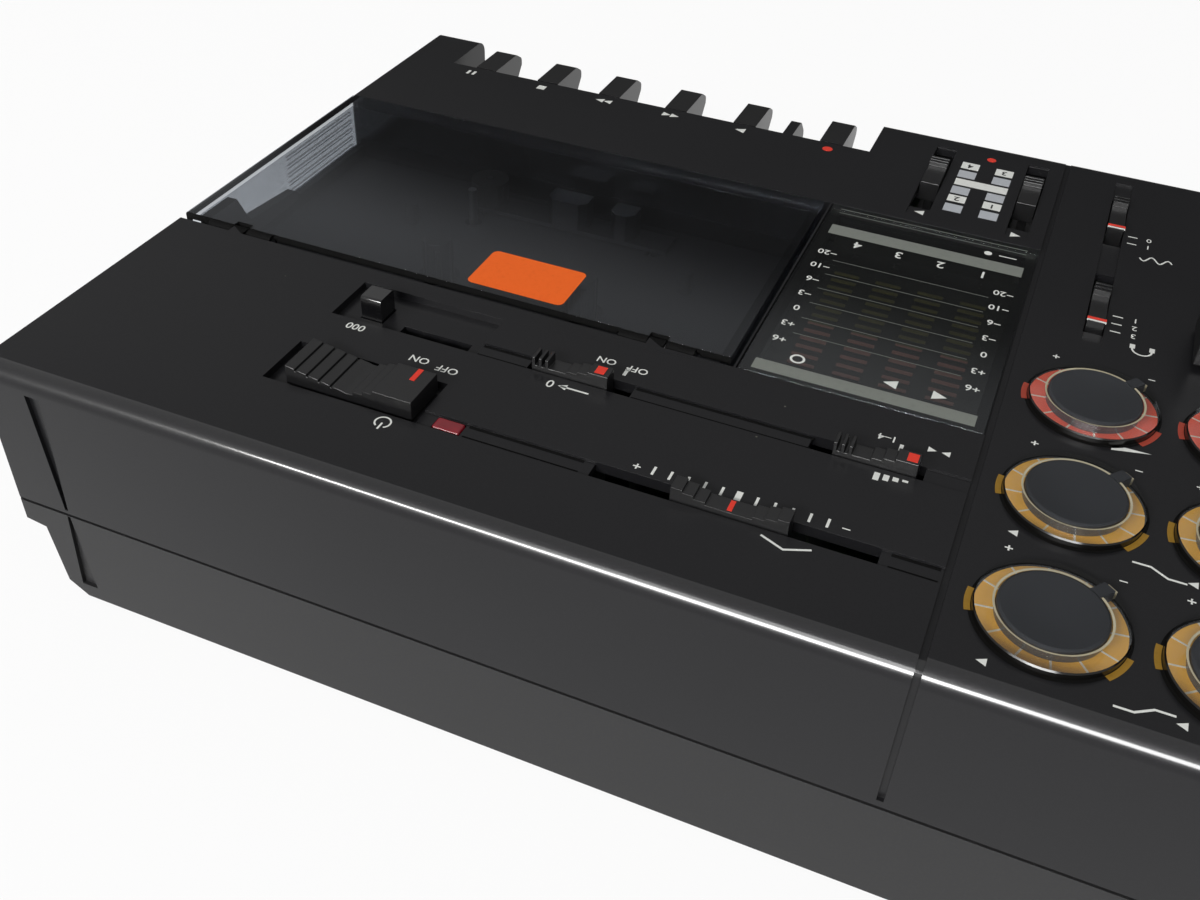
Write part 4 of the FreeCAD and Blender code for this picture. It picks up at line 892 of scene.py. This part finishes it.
# The record switches' boxes: front, rear and ink, in columns at these x
RECORD_XS = (15.5, 25.1)
RECORD_BOXES = (
    (-63.5, -59.0, 1), (-69.0, -65.0, 0), (-74.5, -70.0, 1), (-85.0, -80.5, 1), (-90.5, -86.3, 0),
)


class RECORDER_OT_panel_print(Operator):
    """Prints plain marks, numbers and symbols on the panel"""

    bl_idname = "recorder.panel_print"
    bl_label = "Panel print"

    def execute(self, context):
        z = INK_Z
        self.print_white(z)
        row = KEY_SIGN_Y
        red = bmesh.new()
        add_flat(red, circle(KEY_XS["record"], row, 1.5), z)
        add_flat(red, circle(20.2, -95.2, 1.3), z)
        finished(red, "panel_print_red", [red_ink()], CHASSIS)

        boxes = bmesh.new()
        for x in RECORD_XS:
            for y0, y1, ink in RECORD_BOXES:
                add_bar(boxes, x - 2.45, x + 2.45, y0, y1, z, ink)
        add_bar(boxes, 13.0, 27.5, -79.5, -75.5, z, 0)
        for number, (x, y) in enumerate([(x, y) for y in (-67.0, -88.4) for x in RECORD_XS]):
            add_text(boxes, str(number + 1), x, y, 2.4, z + 0.03, 2, bold=0.05)
        pale = printed("pale grey ink", srgb(176, 180, 186))
        finished(boxes, "record_boxes", [white_ink(), pale, printed("black ink", srgb(20, 20, 20))], CHASSIS)

        sizes = {"Length": 0.55, "Width": 2.6, "Height": 0.04, "Corner": 0.05, "Pitch X": 3.6}
        patterned("pitch_scale", white_ink(), CHASSIS, (41.1, 76.2, PANEL_Z), sizes, {"Columns": 11})
        ends = bmesh.new()
        add_bar(ends, 40.6, 41.9, 74.8, 77.6, z + 0.02)
        add_bar(ends, 14.9, 15.7, 46.2, 49.0, z)
        add_bar(ends, 76.3, 77.1, 46.2, 49.0, z)
        finished(ends, "switch_marks", [white_ink()], CHASSIS)

        # painted shade: thin matt black lines along both edges of the sunk bands, for the shade in the gaps
        # at their edges
        gaps = bmesh.new()
        floor_z = PANEL_Z - BAND_DEPTH + 0.02
        for y, runs in ((PITCH_Y, ((0.6, 10.0), (73.0, 99.0))), (METER_Y, ((32.6, 72.6), (97.6, 109.6)))):
            for x0, x1 in runs:
                for side in (-1, 1):
                    edge = y + side * (BAND_WIDTH / 2 - 0.5)
                    add_bar(gaps, x0, x1, edge - 0.45, edge + 0.45, floor_z)
        finished(gaps, "band_gap_shade", [gap_black()], CHASSIS)
        return {"FINISHED"}

    def print_white(self, z):
        """Words, numbers and signs in white ink."""
        white = bmesh.new()
        for words, x, y, height, bold in PANEL_WORDS:
            add_text(white, words, x, y, height, z, bold=bold)
        for points, width in PANEL_LINES:
            add_line(white, points, width, z)
        for x, y, size, direction in PANEL_ARROWS:
            add_triangle(white, x, y, size, direction)
        # power sign, and the meter switch's rising steps
        add_ring(white, 115.6, 86.0, 1.5, 1.9, z, 120.0, 420.0)
        for i in range(4):
            add_bar(white, 11.6 + 1.9 * i, 12.8 + 1.9 * i, 57.2, 57.9 + 0.6 * i, z)
        # transport keys
        row = KEY_SIGN_Y
        add_triangle(white, KEY_XS["play"], row, 3.0, 1)
        for direction, name in ((-1, "rewind"), (1, "forward")):
            for side in (-1.3, 1.3):
                add_triangle(white, KEY_XS[name] + side, row, 2.6, direction)
        stop, pause = KEY_XS["stop"], KEY_XS["pause"] + 3.0
        for x0, x1 in ((stop - 1.3, stop + 1.3), (pause - 1.4, pause - 0.5), (pause + 0.5, pause + 1.4)):
            add_bar(white, x0, x1, row - 1.3, row + 1.3, z)
        # ticks, noise wave and headphone sign of the sliders at the side
        for y in (-17.9, -21.5, -25.0, -63.2, -67.0):
            add_bar(white, -22.7, -20.3, y - 0.22, y + 0.22, z)
        wave = [(-24.0 - 0.5 * i, -56.8 + 1.3 * math.sin(i * math.pi / 4)) for i in range(17)]
        add_line(white, wave, 0.42, z)
        add_line(white, circle(-28.0, -12.6, 2.2, 14, 0.0, 180.0), 0.45, z)
        for side in (-1, 1):
            add_bar(white, -28.0 + side * 2.2 - 0.6, -28.0 + side * 2.2 + 0.6, -14.4, -12.6, z)
        finished(white, "panel_print", [white_ink()], CHASSIS)


LED_PITCH = 3.57
LED_YS = [-21.45 + LED_PITCH * i for i in range(13)]    # rows of level bars, front to rear
LED_COLUMN_X, LED_COLUMN_PITCH = 11.6, 10.7
METER_X0, METER_X1 = 2.6, 52.4                          # left and right end of the window's grey bands
METER_NUMBERS = (
    (19.8, "+6"), (12.7, "+3"), (5.4, "0"), (-1.7, "−3"),
    (-8.8, "−6"), (-15.9, "−10"), (-23.0, "−20"),
)


class RECORDER_OT_level_meter(Operator):
    """Makes the level meter: bars, mask, smoked window and its print"""

    bl_idname = "recorder.level_meter"
    bl_label = "Level meter"

    def execute(self, context):
        meter = settings().meter
        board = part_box("circuit_boards")[1].z / MM
        sizes = {
            "Length": meter.bar_length / MM, "Width": meter.bar_width / MM, "Height": 0.25, "Corner": 0.2,
            "Pitch X": LED_COLUMN_PITCH, "Pitch Y": LED_PITCH,
        }
        place = (LED_COLUMN_X + 1.5 * LED_COLUMN_PITCH, sum(LED_YS) / len(LED_YS), board + 0.03)
        patterned("level_bars", led_finish(), CHASSIS, place, sizes, {"Columns": 4, "Rows": 13})
        mask = bmesh.new()
        add_box(mask, (1.2, -48.0, board - 0.9), (54.2, 34.2, board - 0.4))
        finished(mask, "meter_mask", [printed("mask black", srgb(12, 12, 12), 0.4)], CHASSIS)

        smoked = pane("smoked meter window", meter.smoke, (0.98, 1.0, 0.98), 0.02)
        softened_node("meter_window", CHASSIS, smoked, 0.2 * MM)

        marks = bmesh.new()
        z = INK_Z
        for y0, y1 in ((29.4, 33.5), (-37.8, -32.8)):
            add_bar(marks, METER_X0, METER_X1, y0, y1, z, 1)
        for y in (16.2, 9.1, 1.9, -5.3, -12.5, -19.7):
            add_bar(marks, 8.6, 47.6, y - 0.09, y + 0.09, z, 1)
        for y in (-44.7, -46.8):
            add_bar(marks, 3.0, METER_X1, y - 0.12, y + 0.12, z, 1)
        for y, mark in METER_NUMBERS:
            for x in (5.4, 49.8):
                add_text(marks, mark, x, y, 2.3, z, bold=0.04)
        for i in range(4):
            add_text(marks, str(i + 1), LED_COLUMN_X + LED_COLUMN_PITCH * i, -29.9, 3.2, z, bold=0.06)
        add_triangle(marks, 11.5, 26.0, 3.2, -1)
        add_triangle(marks, 22.5, 26.0, 3.2, 1)
        add_ring(marks, 43.7, 26.0, 1.2, 1.75, z)
        add_line(marks, [(5.0, -41.2), (9.4, -41.2)], 0.4, z)
        add_flat(marks, circle(12.2, -41.2, 1.0), z)
        finished(marks, "meter_print", [white_ink(), grey_ink()], CHASSIS)
        return {"FINISHED"}


# The bracket on the lid's skirt, in x, y and z from the lid's right rear top corner
LID_BRACKET = ((-5.7, -2.59), (-41.6, -1.9), (-15.1, -1.99))
LABEL_X, LABEL_Y, LABEL_CORNER = 113.1, 21.9, 1.6


class RECORDER_OT_cassette_lid(Operator):
    """Makes the clear cassette lid with its skirts, bracket, label and ribs"""

    bl_idname = "recorder.cassette_lid"
    bl_label = "Cassette lid"

    def execute(self, context):
        lid = settings().lid
        tint = (0.955, 0.975, 1.0)
        top = pane("smoked lid", lid.smoke, tint, 0.012)
        skirt = pane("lid skirt", lid.skirt, tint, 0.05)
        rib = pane("lid rib in painted shade", lid.rib, tint, 0.1)
        mesh = softened(as_mesh(merged_copy("cassette_lid"), "lid"), 0.15 * MM, 1)
        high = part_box("cassette_lid")[1] - Vector((0, HINGE_REACH * MM, 0))
        finishes = [top, skirt, satin_plastic(), rib, gap_black()]
        piece = keep(mesh, "lid_shell", finishes, "lid")
        for face in mesh.polygons:
            x, y, z = (face.center - high) / MM
            if x > -2.7 and z < -1.0:
                # painted shade: the ribs' upper and lower faces let less light through, for the dark stripes
                # of the ribs' shading
                face.material_index = 3 if x < -1.9 and abs(face.normal.z) > 0.7 and z > -15.5 else 1
            if all(low < part < top for part, (low, top) in zip((x, y, z), LID_BRACKET)):
                face.material_index = 2
            # painted shade: the lid's rear faces below its top, by the hinge barrels, take the matt black
            # shade finish
            if y > -1.8 and z < -0.1 and x < -2.7:
                face.material_index = 4
        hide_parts("cassette_lid")

        label = bmesh.new()
        half_x = lid.label_length / 2 / MM - LABEL_CORNER
        half_y = lid.label_width / 2 / MM - LABEL_CORNER
        points = []
        for sx, sy, start in ((1, 1, 0), (-1, 1, 90), (-1, -1, 180), (1, -1, 270)):
            x, y = LABEL_X + sx * half_x, LABEL_Y + sy * half_y
            points += circle(x, y, LABEL_CORNER, 6, start, start + 90)
        add_flat(label, points, INK_Z)
        finished(label, "blank_label", [printed("orange label", tuple(lid.label), 0.12)], "lid")

        edge = bmesh.new()
        add_box(edge, (205.0, -48.3, 66.1), (205.7, LID_REAR - 0.1, 67.5))
        finished(edge, "lid_edge", [gloss_plastic()], "lid")
        return {"FINISHED"}


class RECORDER_OT_knobs(Operator):
    """Makes the rotary knobs: dished cap, clear skirt and pointer"""

    bl_idname = "recorder.knobs"
    bl_label = "Knobs"

    def execute(self, context):
        knob = settings().knob
        cap, skirt, dish = knob.cap_radius / MM, knob.skirt_radius / MM, knob.dish / MM
        foot, rim = PANEL_Z + knob.skirt_foot / MM, PANEL_Z + knob.skirt_rim / MM
        low, top = PANEL_Z + 0.2, PANEL_Z + knob.cap_height / MM
        bowl = [(0.93 * cap * k / 5, top - dish * (1 - (k / 5) ** 2)) for k in range(5, -1, -1)]
        cap_profile = [(0.0, low), (cap - 0.1, low), (cap - 0.1, top - 0.8), (0.98 * cap, top - 0.25)] + bowl
        clear_profile = [
            (cap + 0.1, low), (cap + 0.1, foot - 0.1), (cap + 0.55, foot), (skirt - 0.25, rim),
            (skirt, rim - 0.3), (skirt, low), (cap + 0.1, low),
        ]
        # faces of the profile in turn: inner wall, lip at the cap's foot with a painted highlight, cone, rim
        # bevel and outer wall with the wall's partly painted shade, underside
        clear_faces = [0, 2, 0, 1, 1, 0]
        for row, y in zip(KNOB_ROWS, KNOB_YS):
            for i, x in enumerate(KNOB_XS):
                body = f"{row}_knob_{i + 1}"
                shape = bmesh.new()
                revolved(shape, cap_profile, x, y, 56)
                # the pointer lies across the skirt, towards minus
                verts = add_box(shape, (cap - 1.5, -1.3, low), (skirt - 0.35, 1.3, foot + 0.15))
                # the pointer's end beyond the rim takes the second finish, a painted highlight
                verts += add_box(shape, (skirt - 0.3, -1.1, low), (skirt + 0.7, 1.1, rim + 0.1), 1)
                turn = Matrix.Translation((x, y, 0)) @ Matrix.Rotation(math.radians(POINTER_BEARING), 4, "Z")
                bmesh.ops.transform(shape, matrix=turn, verts=verts)
                add_box(shape, (x - 2.0, y - 2.0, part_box(body)[0].z / MM), (x + 2.0, y + 2.0, low + 0.2))
                bmesh.ops.recalc_face_normals(shape, faces=shape.faces)
                piece = finished(shape, "cap_" + body, [cap_rubber(), skirt_lip()], body, smooth=28)
                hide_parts(body)
                ring = bmesh.new()
                revolved(ring, clear_profile, x, y, 72, clear_faces)
                bmesh.ops.remove_doubles(ring, verts=ring.verts, dist=1e-4)
                bmesh.ops.recalc_face_normals(ring, faces=ring.faces)
                finishes = [skirt_acrylic(), skirt_wall(), skirt_lip()]
                finished(ring, "skirt_" + body, finishes, body, smooth=35)
        return {"FINISHED"}


RING_INNER = 9.6                            # the ring starts under the cap
TAB_ARCS = ((-9.0, 15.0), (138.0, 166.0))   # the ring's two tabs, in degrees from +x
TAB_GAP = 0.4
FIRST_TICK = math.radians(8.0)


class RECORDER_OT_knob_scales(Operator):
    """Prints the coloured rings, their ticks and the plus and minus signs"""

    bl_idname = "recorder.knob_scales"
    bl_label = "Knob scales"

    def execute(self, context):
        knob = settings().knob
        inner, outer, rim = RING_INNER, knob.ring_radius / MM, knob.tab_radius / MM
        # the tabs' inks, the third and fourth, are darkened copies of the ring inks: painted shade for tabs
        # that lie in the skirt's shade
        inks = [
            printed("mustard ink", tuple(knob.mustard), 0.1), printed("level ink", tuple(knob.red), 0.1),
            printed("mustard ink in painted shade", shade(knob.mustard, 0.34), 0.3),
            printed("level ink in painted shade", shade(knob.red, 0.4), 0.3), gap_black(),
        ]
        rings = bmesh.new()
        for row, y in zip(KNOB_ROWS, KNOB_YS):
            ink = int(row == "level")
            for x in KNOB_XS:
                add_ring(rings, x, y, inner, outer, INK_Z, index=ink, count=60)
                # painted shadow: a matt black ring on the panel round each skirt's rim
                add_ring(rings, x, y, outer, knob.gap_radius / MM, INK_Z, index=4, count=60)
                for start, end in TAB_ARCS:
                    add_ring(rings, x, y, outer + TAB_GAP, rim, INK_Z + 0.02, start, end, 2 + ink, 8)
        finished(rings, "knob_rings", inks, CHASSIS)

        sizes = {
            "Length": outer - inner, "Width": knob.tick_width / MM, "Height": 0.03, "Corner": 0.02,
            "Pitch X": KNOB_PITCH, "Pitch Y": KNOB_YS[0] - KNOB_YS[1], "Radius": (outer + inner) / 2,
            "First Angle": FIRST_TICK,
        }
        counts = {"Columns": len(KNOB_XS), "Rows": len(KNOB_YS), "Spokes": knob.tick_count}
        place = ((KNOB_XS[0] + KNOB_XS[-1]) / 2, KNOB_YS[1], INK_Z + 0.01)
        patterned("knob_ticks", white_ink(), CHASSIS, place, sizes, counts)
        signs = bmesh.new()
        for y in KNOB_YS:
            for x in KNOB_XS:
                add_text(signs, "−", x - 11.3, y - 16.0, 2.2, INK_Z, bold=0.03)
                add_text(signs, "+", x + 9.7, y - 16.0, 2.2, INK_Z, bold=0.05)
        for i, x in enumerate(KNOB_XS[:4]):
            add_text(signs, str(i + 1), x, -97.0, 4.0, INK_Z, bold=0.08)
        for x in KNOB_XS:
            between = x - 17.3
            left, right = between - 5, between + 5
            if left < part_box("upper_case")[0].x / MM:
                continue
            for y, rise in ((98.4, 1.0), (62.9, -1.0)):
                shelf = [
                    (left, y - rise), (between - 1.6, y - rise), (between + 1.6, y + rise), (right, y + rise),
                ]
                add_line(signs, shelf, 0.5, INK_Z)
                add_triangle(signs, x + 9.7, y + 0.5, 1.9, 1)
            add_flat(signs, [(x - 13.3, 26.7), (x - 5.3, 26.7), (x - 5.3, 28.7)], INK_Z)
        finished(signs, "knob_signs", [white_ink()], CHASSIS)
        return {"FINISHED"}


FADER_FOOT, FADER_STEP = -79.0, 6.0     # y of a fader's 0 and from one number to the next


class RECORDER_OT_faders(Operator):
    """Makes the fader caps, their coloured lines and their scales"""

    bl_idname = "recorder.faders"
    bl_label = "Faders"

    def execute(self, context):
        for name in ["master_fader"] + [f"fader_{i}" for i in range(1, 5)]:
            softened_node(name, name, satin_plastic(), 0.5 * MM, segments=3)
            x, y = middle(name, 0), middle(name, 1)
            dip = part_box(name)[1].z / MM - 2.0
            line = bmesh.new()
            add_box(line, (x - 13.4, y - 0.5, dip - 0.4), (x + 13.4, y + 0.5, dip + 0.16))
            ink = red_ink() if name == "master_fader" else white_ink()
            finished(line, "line_" + name, [ink], name)
        sizes = {
            "Length": 2.4, "Width": 0.4, "Height": 0.04, "Corner": 0.05,
            "Pitch X": KNOB_PITCH, "Pitch Y": FADER_STEP,
        }
        for side, name in ((-1, "fader_scale_left"), (1, "fader_scale_right")):
            place = ((KNOB_XS[0] + KNOB_XS[4]) / 2 + side * 4.6, FADER_FOOT + 5 * FADER_STEP, PANEL_Z)
            patterned(name, white_ink(), CHASSIS, place, sizes, {"Columns": 5, "Rows": 11})
        numbers = bmesh.new()
        for x in KNOB_XS[:5]:
            for i in range(11):
                add_text(numbers, str(i), x + 8.0, FADER_FOOT + FADER_STEP * i, 2.0, INK_Z, bold=0.02)
        finished(numbers, "fader_numbers", [white_ink()], CHASSIS)
        return {"FINISHED"}


# Marks on the sliders: x from and to, y from and to, foot and top over the panel, and 1 for white
SLIDER_MARKS = {
    "pitch": [(40.8, 41.8, 79.3, 82.4, 0.9, 1.3, 0)],
    "meter": [(10.9, 13.1, 52.2, 54.8, 3.0, 3.3, 0)],
    "zero": [(79.2, 81.4, 52.2, 54.8, 3.0, 3.3, 0)],
    "power": [(114.4, 115.6, 70.4, 74.6, 3.2, 3.5, 0)],
    "monitor": [(-19.0, -14.6, -18.9, -18.0, 1.8, 2.1, 0), (-19.0, -14.6, -17.7, -17.2, 1.8, 2.1, 1)],
    "noise": [(-19.0, -14.6, -68.0, -67.1, 1.8, 2.1, 0), (-19.0, -14.6, -66.7, -66.2, 1.8, 2.1, 1)],
}


class RECORDER_OT_sliders(Operator):
    """Makes the slide switches and their red marks"""

    bl_idname = "recorder.sliders"
    bl_label = "Sliders"

    def execute(self, context):
        for name in ("pitch", "meter", "zero", "power", "monitor", "noise", "record_left", "record_right"):
            node = name + "_slider"
            softened_node(node, node, satin_plastic(), 0.16 * MM)
        for name, boxes in SLIDER_MARKS.items():
            shape = bmesh.new()
            for x0, x1, y0, y1, foot, top, index in boxes:
                add_box(shape, (x0, y0, PANEL_Z + foot), (x1, y1, PANEL_Z + top), index)
            finished(shape, "mark_" + name, [red_ink(), white_ink()], name + "_slider")
        return {"FINISHED"}


class RECORDER_OT_keys(Operator):
    """Makes the transport keys and the counter's reset button"""

    bl_idname = "recorder.keys"
    bl_label = "Keys"

    def execute(self, context):
        for name in KEY_XS:
            node = name + "_key"
            softened_node(node, node, satin_plastic(), 0.4 * MM, split=True)
        softened_node("reset_button", "reset_button", gloss_plastic(), 0.3 * MM, split=True)
        return {"FINISHED"}


class RECORDER_OT_counter(Operator):
    """Makes the tape counter's wheels with their digits"""

    bl_idname = "recorder.counter"
    bl_label = "Tape counter"

    def execute(self, context):
        for name in ("counter_hundreds", "counter_tens", "counter_units"):
            low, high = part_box(name)
            x0, width = low.x / MM, (high.x - low.x) / MM
            x, y, z = (middle(name, axis) for axis in range(3))
            radius = (high.z - low.z) / 2 / MM
            rim, bore, chamfer = radius - 0.05, 1.6, 0.25
            profile = [
                (bore, 0), (rim - chamfer, 0), (rim, chamfer), (rim, width - chamfer), (rim - chamfer, width),
                (bore, width), (bore, 0),
            ]
            drum = bmesh.new()
            revolved(drum, profile, 0, 0, 40)
            bmesh.ops.remove_doubles(drum, verts=drum.verts, dist=1e-4)
            bmesh.ops.recalc_face_normals(drum, faces=drum.faces)
            lay = Matrix.Translation((x0, y, z)) @ Matrix.Rotation(math.radians(90), 4, "Y")
            bmesh.ops.transform(drum, matrix=lay, verts=drum.verts)
            for digit in range(10):
                letters = bmesh.new()
                add_text(letters, str(digit), 0, 0, 2.6, 0, 1, bold=0.05)
                for vert in letters.verts:
                    angle = math.radians(digit * 36) + vert.co.y / radius
                    across, upward = (radius - 0.01) * math.sin(angle), (radius - 0.01) * math.cos(angle)
                    vert.co = Vector((x + vert.co.x, y + across, z + upward))
                mesh = as_mesh(letters, "digit")
                drum.from_mesh(mesh)
                bpy.data.meshes.remove(mesh)
            piece = finished(drum, "wheel_" + name, [satin_plastic(), white_ink()], name, smooth=30)
            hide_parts(name)
        return {"FINISHED"}


class RECORDER_OT_power_lamp(Operator):
    """Makes the red power lamp"""

    bl_idname = "recorder.power_lamp"
    bl_label = "Power lamp"

    def execute(self, context):
        softened_node("power_lamp", CHASSIS, red_lens(), 0.5 * MM, 2)
        return {"FINISHED"}


# ---- stage ---------------------------------------------------------------------------------------
WHITE = (1, 1, 1, 1)
FLOOR_REACH = 4000.0
WINDOW_PLACE, WINDOW_AIM = Vector((0.75, 2.5, 1.45)), Vector((0.05, 0, 0.05))
CAMERA_PLACE = (0.0, 0.2585, 0.2311)
CAMERA_AXES = ((-0.9199, -0.3904, 0.0369), (0.2754, -0.5763, 0.7694), (-0.2791, 0.7180, 0.6376))
WALL_WAY = (0.0513, 0.5462, 0.8361)     # the room's pale wall lies on that side


def room(stage):
    """A room that is white to the eye, lights evenly, and shows a wall and a window in polished faces."""
    world = bpy.data.worlds.new("room")
    world.use_nodes = True
    world.node_tree.nodes.clear()
    graph = Graph(world.node_tree)
    rays = graph.add("ShaderNodeLightPath")
    way = graph.add("ShaderNodeTexCoord").out("Generated")
    lift = graph.add("ShaderNodeVectorMath", {"operation": "DOT_PRODUCT"}, {0: way, 1: WALL_WAY}, "Value")
    spot = graph.add("ShaderNodeSeparateXYZ", None, {0: way})
    across = spot.out("X").ease(-0.42, -0.28) * (1.0 - spot.out("X").ease(0.1, 0.4))
    upward = spot.out("Z").ease(0.3, 0.36) * (1.0 - spot.out("Z").ease(0.62, 0.7))
    window = across * upward * (spot.out("Y") > 0.0)
    mirrored = 0.04 + 0.45 * lift.ease(-0.03, 0.05) + stage.window_glint * window
    glossy = rays.out("Is Glossy Ray")
    even = stage.sky * (1.0 - glossy) + mirrored * glossy
    seen = rays.out("Is Camera Ray") + rays.out("Is Transmission Ray")
    seen = seen.math("MINIMUM", seen, 1.0)
    strength = seen + even * (1.0 - seen)
    back = graph.add("ShaderNodeBackground", None, {"Color": WHITE, "Strength": strength})
    graph.add("ShaderNodeOutputWorld", None, {"Surface": back})
    return world


class RECORDER_OT_stage(Operator):
    """Sets the floor, the room light, the window light and the camera"""

    bl_idname = "recorder.stage"
    bl_label = "Stage"

    def execute(self, context):
        scene, stage = bpy.context.scene, settings().stage
        shape = bmesh.new()
        add_bar(shape, -FLOOR_REACH, FLOOR_REACH, -FLOOR_REACH, FLOOR_REACH, 0.0)
        mesh = scaled_mesh(shape, "floor")

        def paper(graph):
            cloud = graph.noise(1.5, 2.0)
            body = graph.mix(cloud * 0.4, rgba(stage.floor), rgba(shade(stage.floor, 0.97)))
            sheet = principled(graph, body, 0.85, Specular_IOR_Level=0.1)
            rays = graph.add("ShaderNodeLightPath")
            seen = rays.out("Is Camera Ray") + rays.out("Is Glossy Ray") + rays.out("Is Transmission Ray")
            white = graph.add("ShaderNodeEmission", None, {"Color": WHITE, "Strength": 1.0})
            return graph.blend(seen.math("MINIMUM", seen, 1.0) * 0.9, sheet, white)

        mesh.materials.append(material("white paper", paper))
        placed("floor", mesh)
        scene.world = room(stage)

        light = bpy.data.lights.new("window", "AREA")
        light.shape, light.size, light.size_y = "RECTANGLE", 1.9, 0.35
        light.energy, light.color = stage.window_power, (1.0, 0.99, 0.97)
        window = placed("window", light)
        window.location = WINDOW_PLACE
        window.rotation_euler = (WINDOW_AIM - WINDOW_PLACE).to_track_quat("-Z", "Y").to_euler()

        camera = bpy.data.cameras.new("camera")
        camera.lens, camera.sensor_width = stage.lens, 36.0
        camera.clip_start = 0.01
        turn = Matrix(CAMERA_AXES).transposed().to_4x4()
        scene.camera = placed("camera", camera)
        scene.camera.matrix_world = Matrix.Translation(CAMERA_PLACE) @ turn
        scene.view_settings.view_transform = "Standard"
        return {"FINISHED"}


OPERATORS = [
    RECORDER_OT_case, RECORDER_OT_transport, RECORDER_OT_panel_print, RECORDER_OT_level_meter,
    RECORDER_OT_cassette_lid, RECORDER_OT_knobs, RECORDER_OT_knob_scales, RECORDER_OT_faders,
    RECORDER_OT_sliders, RECORDER_OT_keys, RECORDER_OT_counter, RECORDER_OT_power_lamp, RECORDER_OT_stage,
]


class RECORDER_PT_panel(Panel):
    """Lists the recorder's operators and settings"""

    bl_idname = "RECORDER_PT_panel"
    bl_label = "Recorder"
    bl_space_type = "VIEW_3D"
    bl_region_type = "UI"
    bl_category = "Recorder"

    def draw(self, context):
        for operator in OPERATORS:
            self.layout.operator(operator.bl_idname)
        for group in ("case", "knob", "meter", "lid", "stage"):
            box = self.layout.box()
            values = getattr(context.scene.recorder, group)
            for name in values.__annotations__:
                box.prop(values, name)


CLASSES = [
    CaseSettings, KnobSettings, MeterSettings, LidSettings, StageSettings, RecorderSettings, *OPERATORS,
    RECORDER_PT_panel,
]


def register():
    for each in CLASSES:
        bpy.utils.register_class(each)
    bpy.types.Scene.recorder = PointerProperty(type=RecorderSettings)


def unregister():
    del bpy.types.Scene.recorder
    for each in reversed(CLASSES):
        bpy.utils.unregister_class(each)


def main():
    register()
    for operator in OPERATORS:
        group, name = operator.bl_idname.split(".")
        getattr(getattr(bpy.ops, group), name)()


if __name__ == "__main__":
    main()
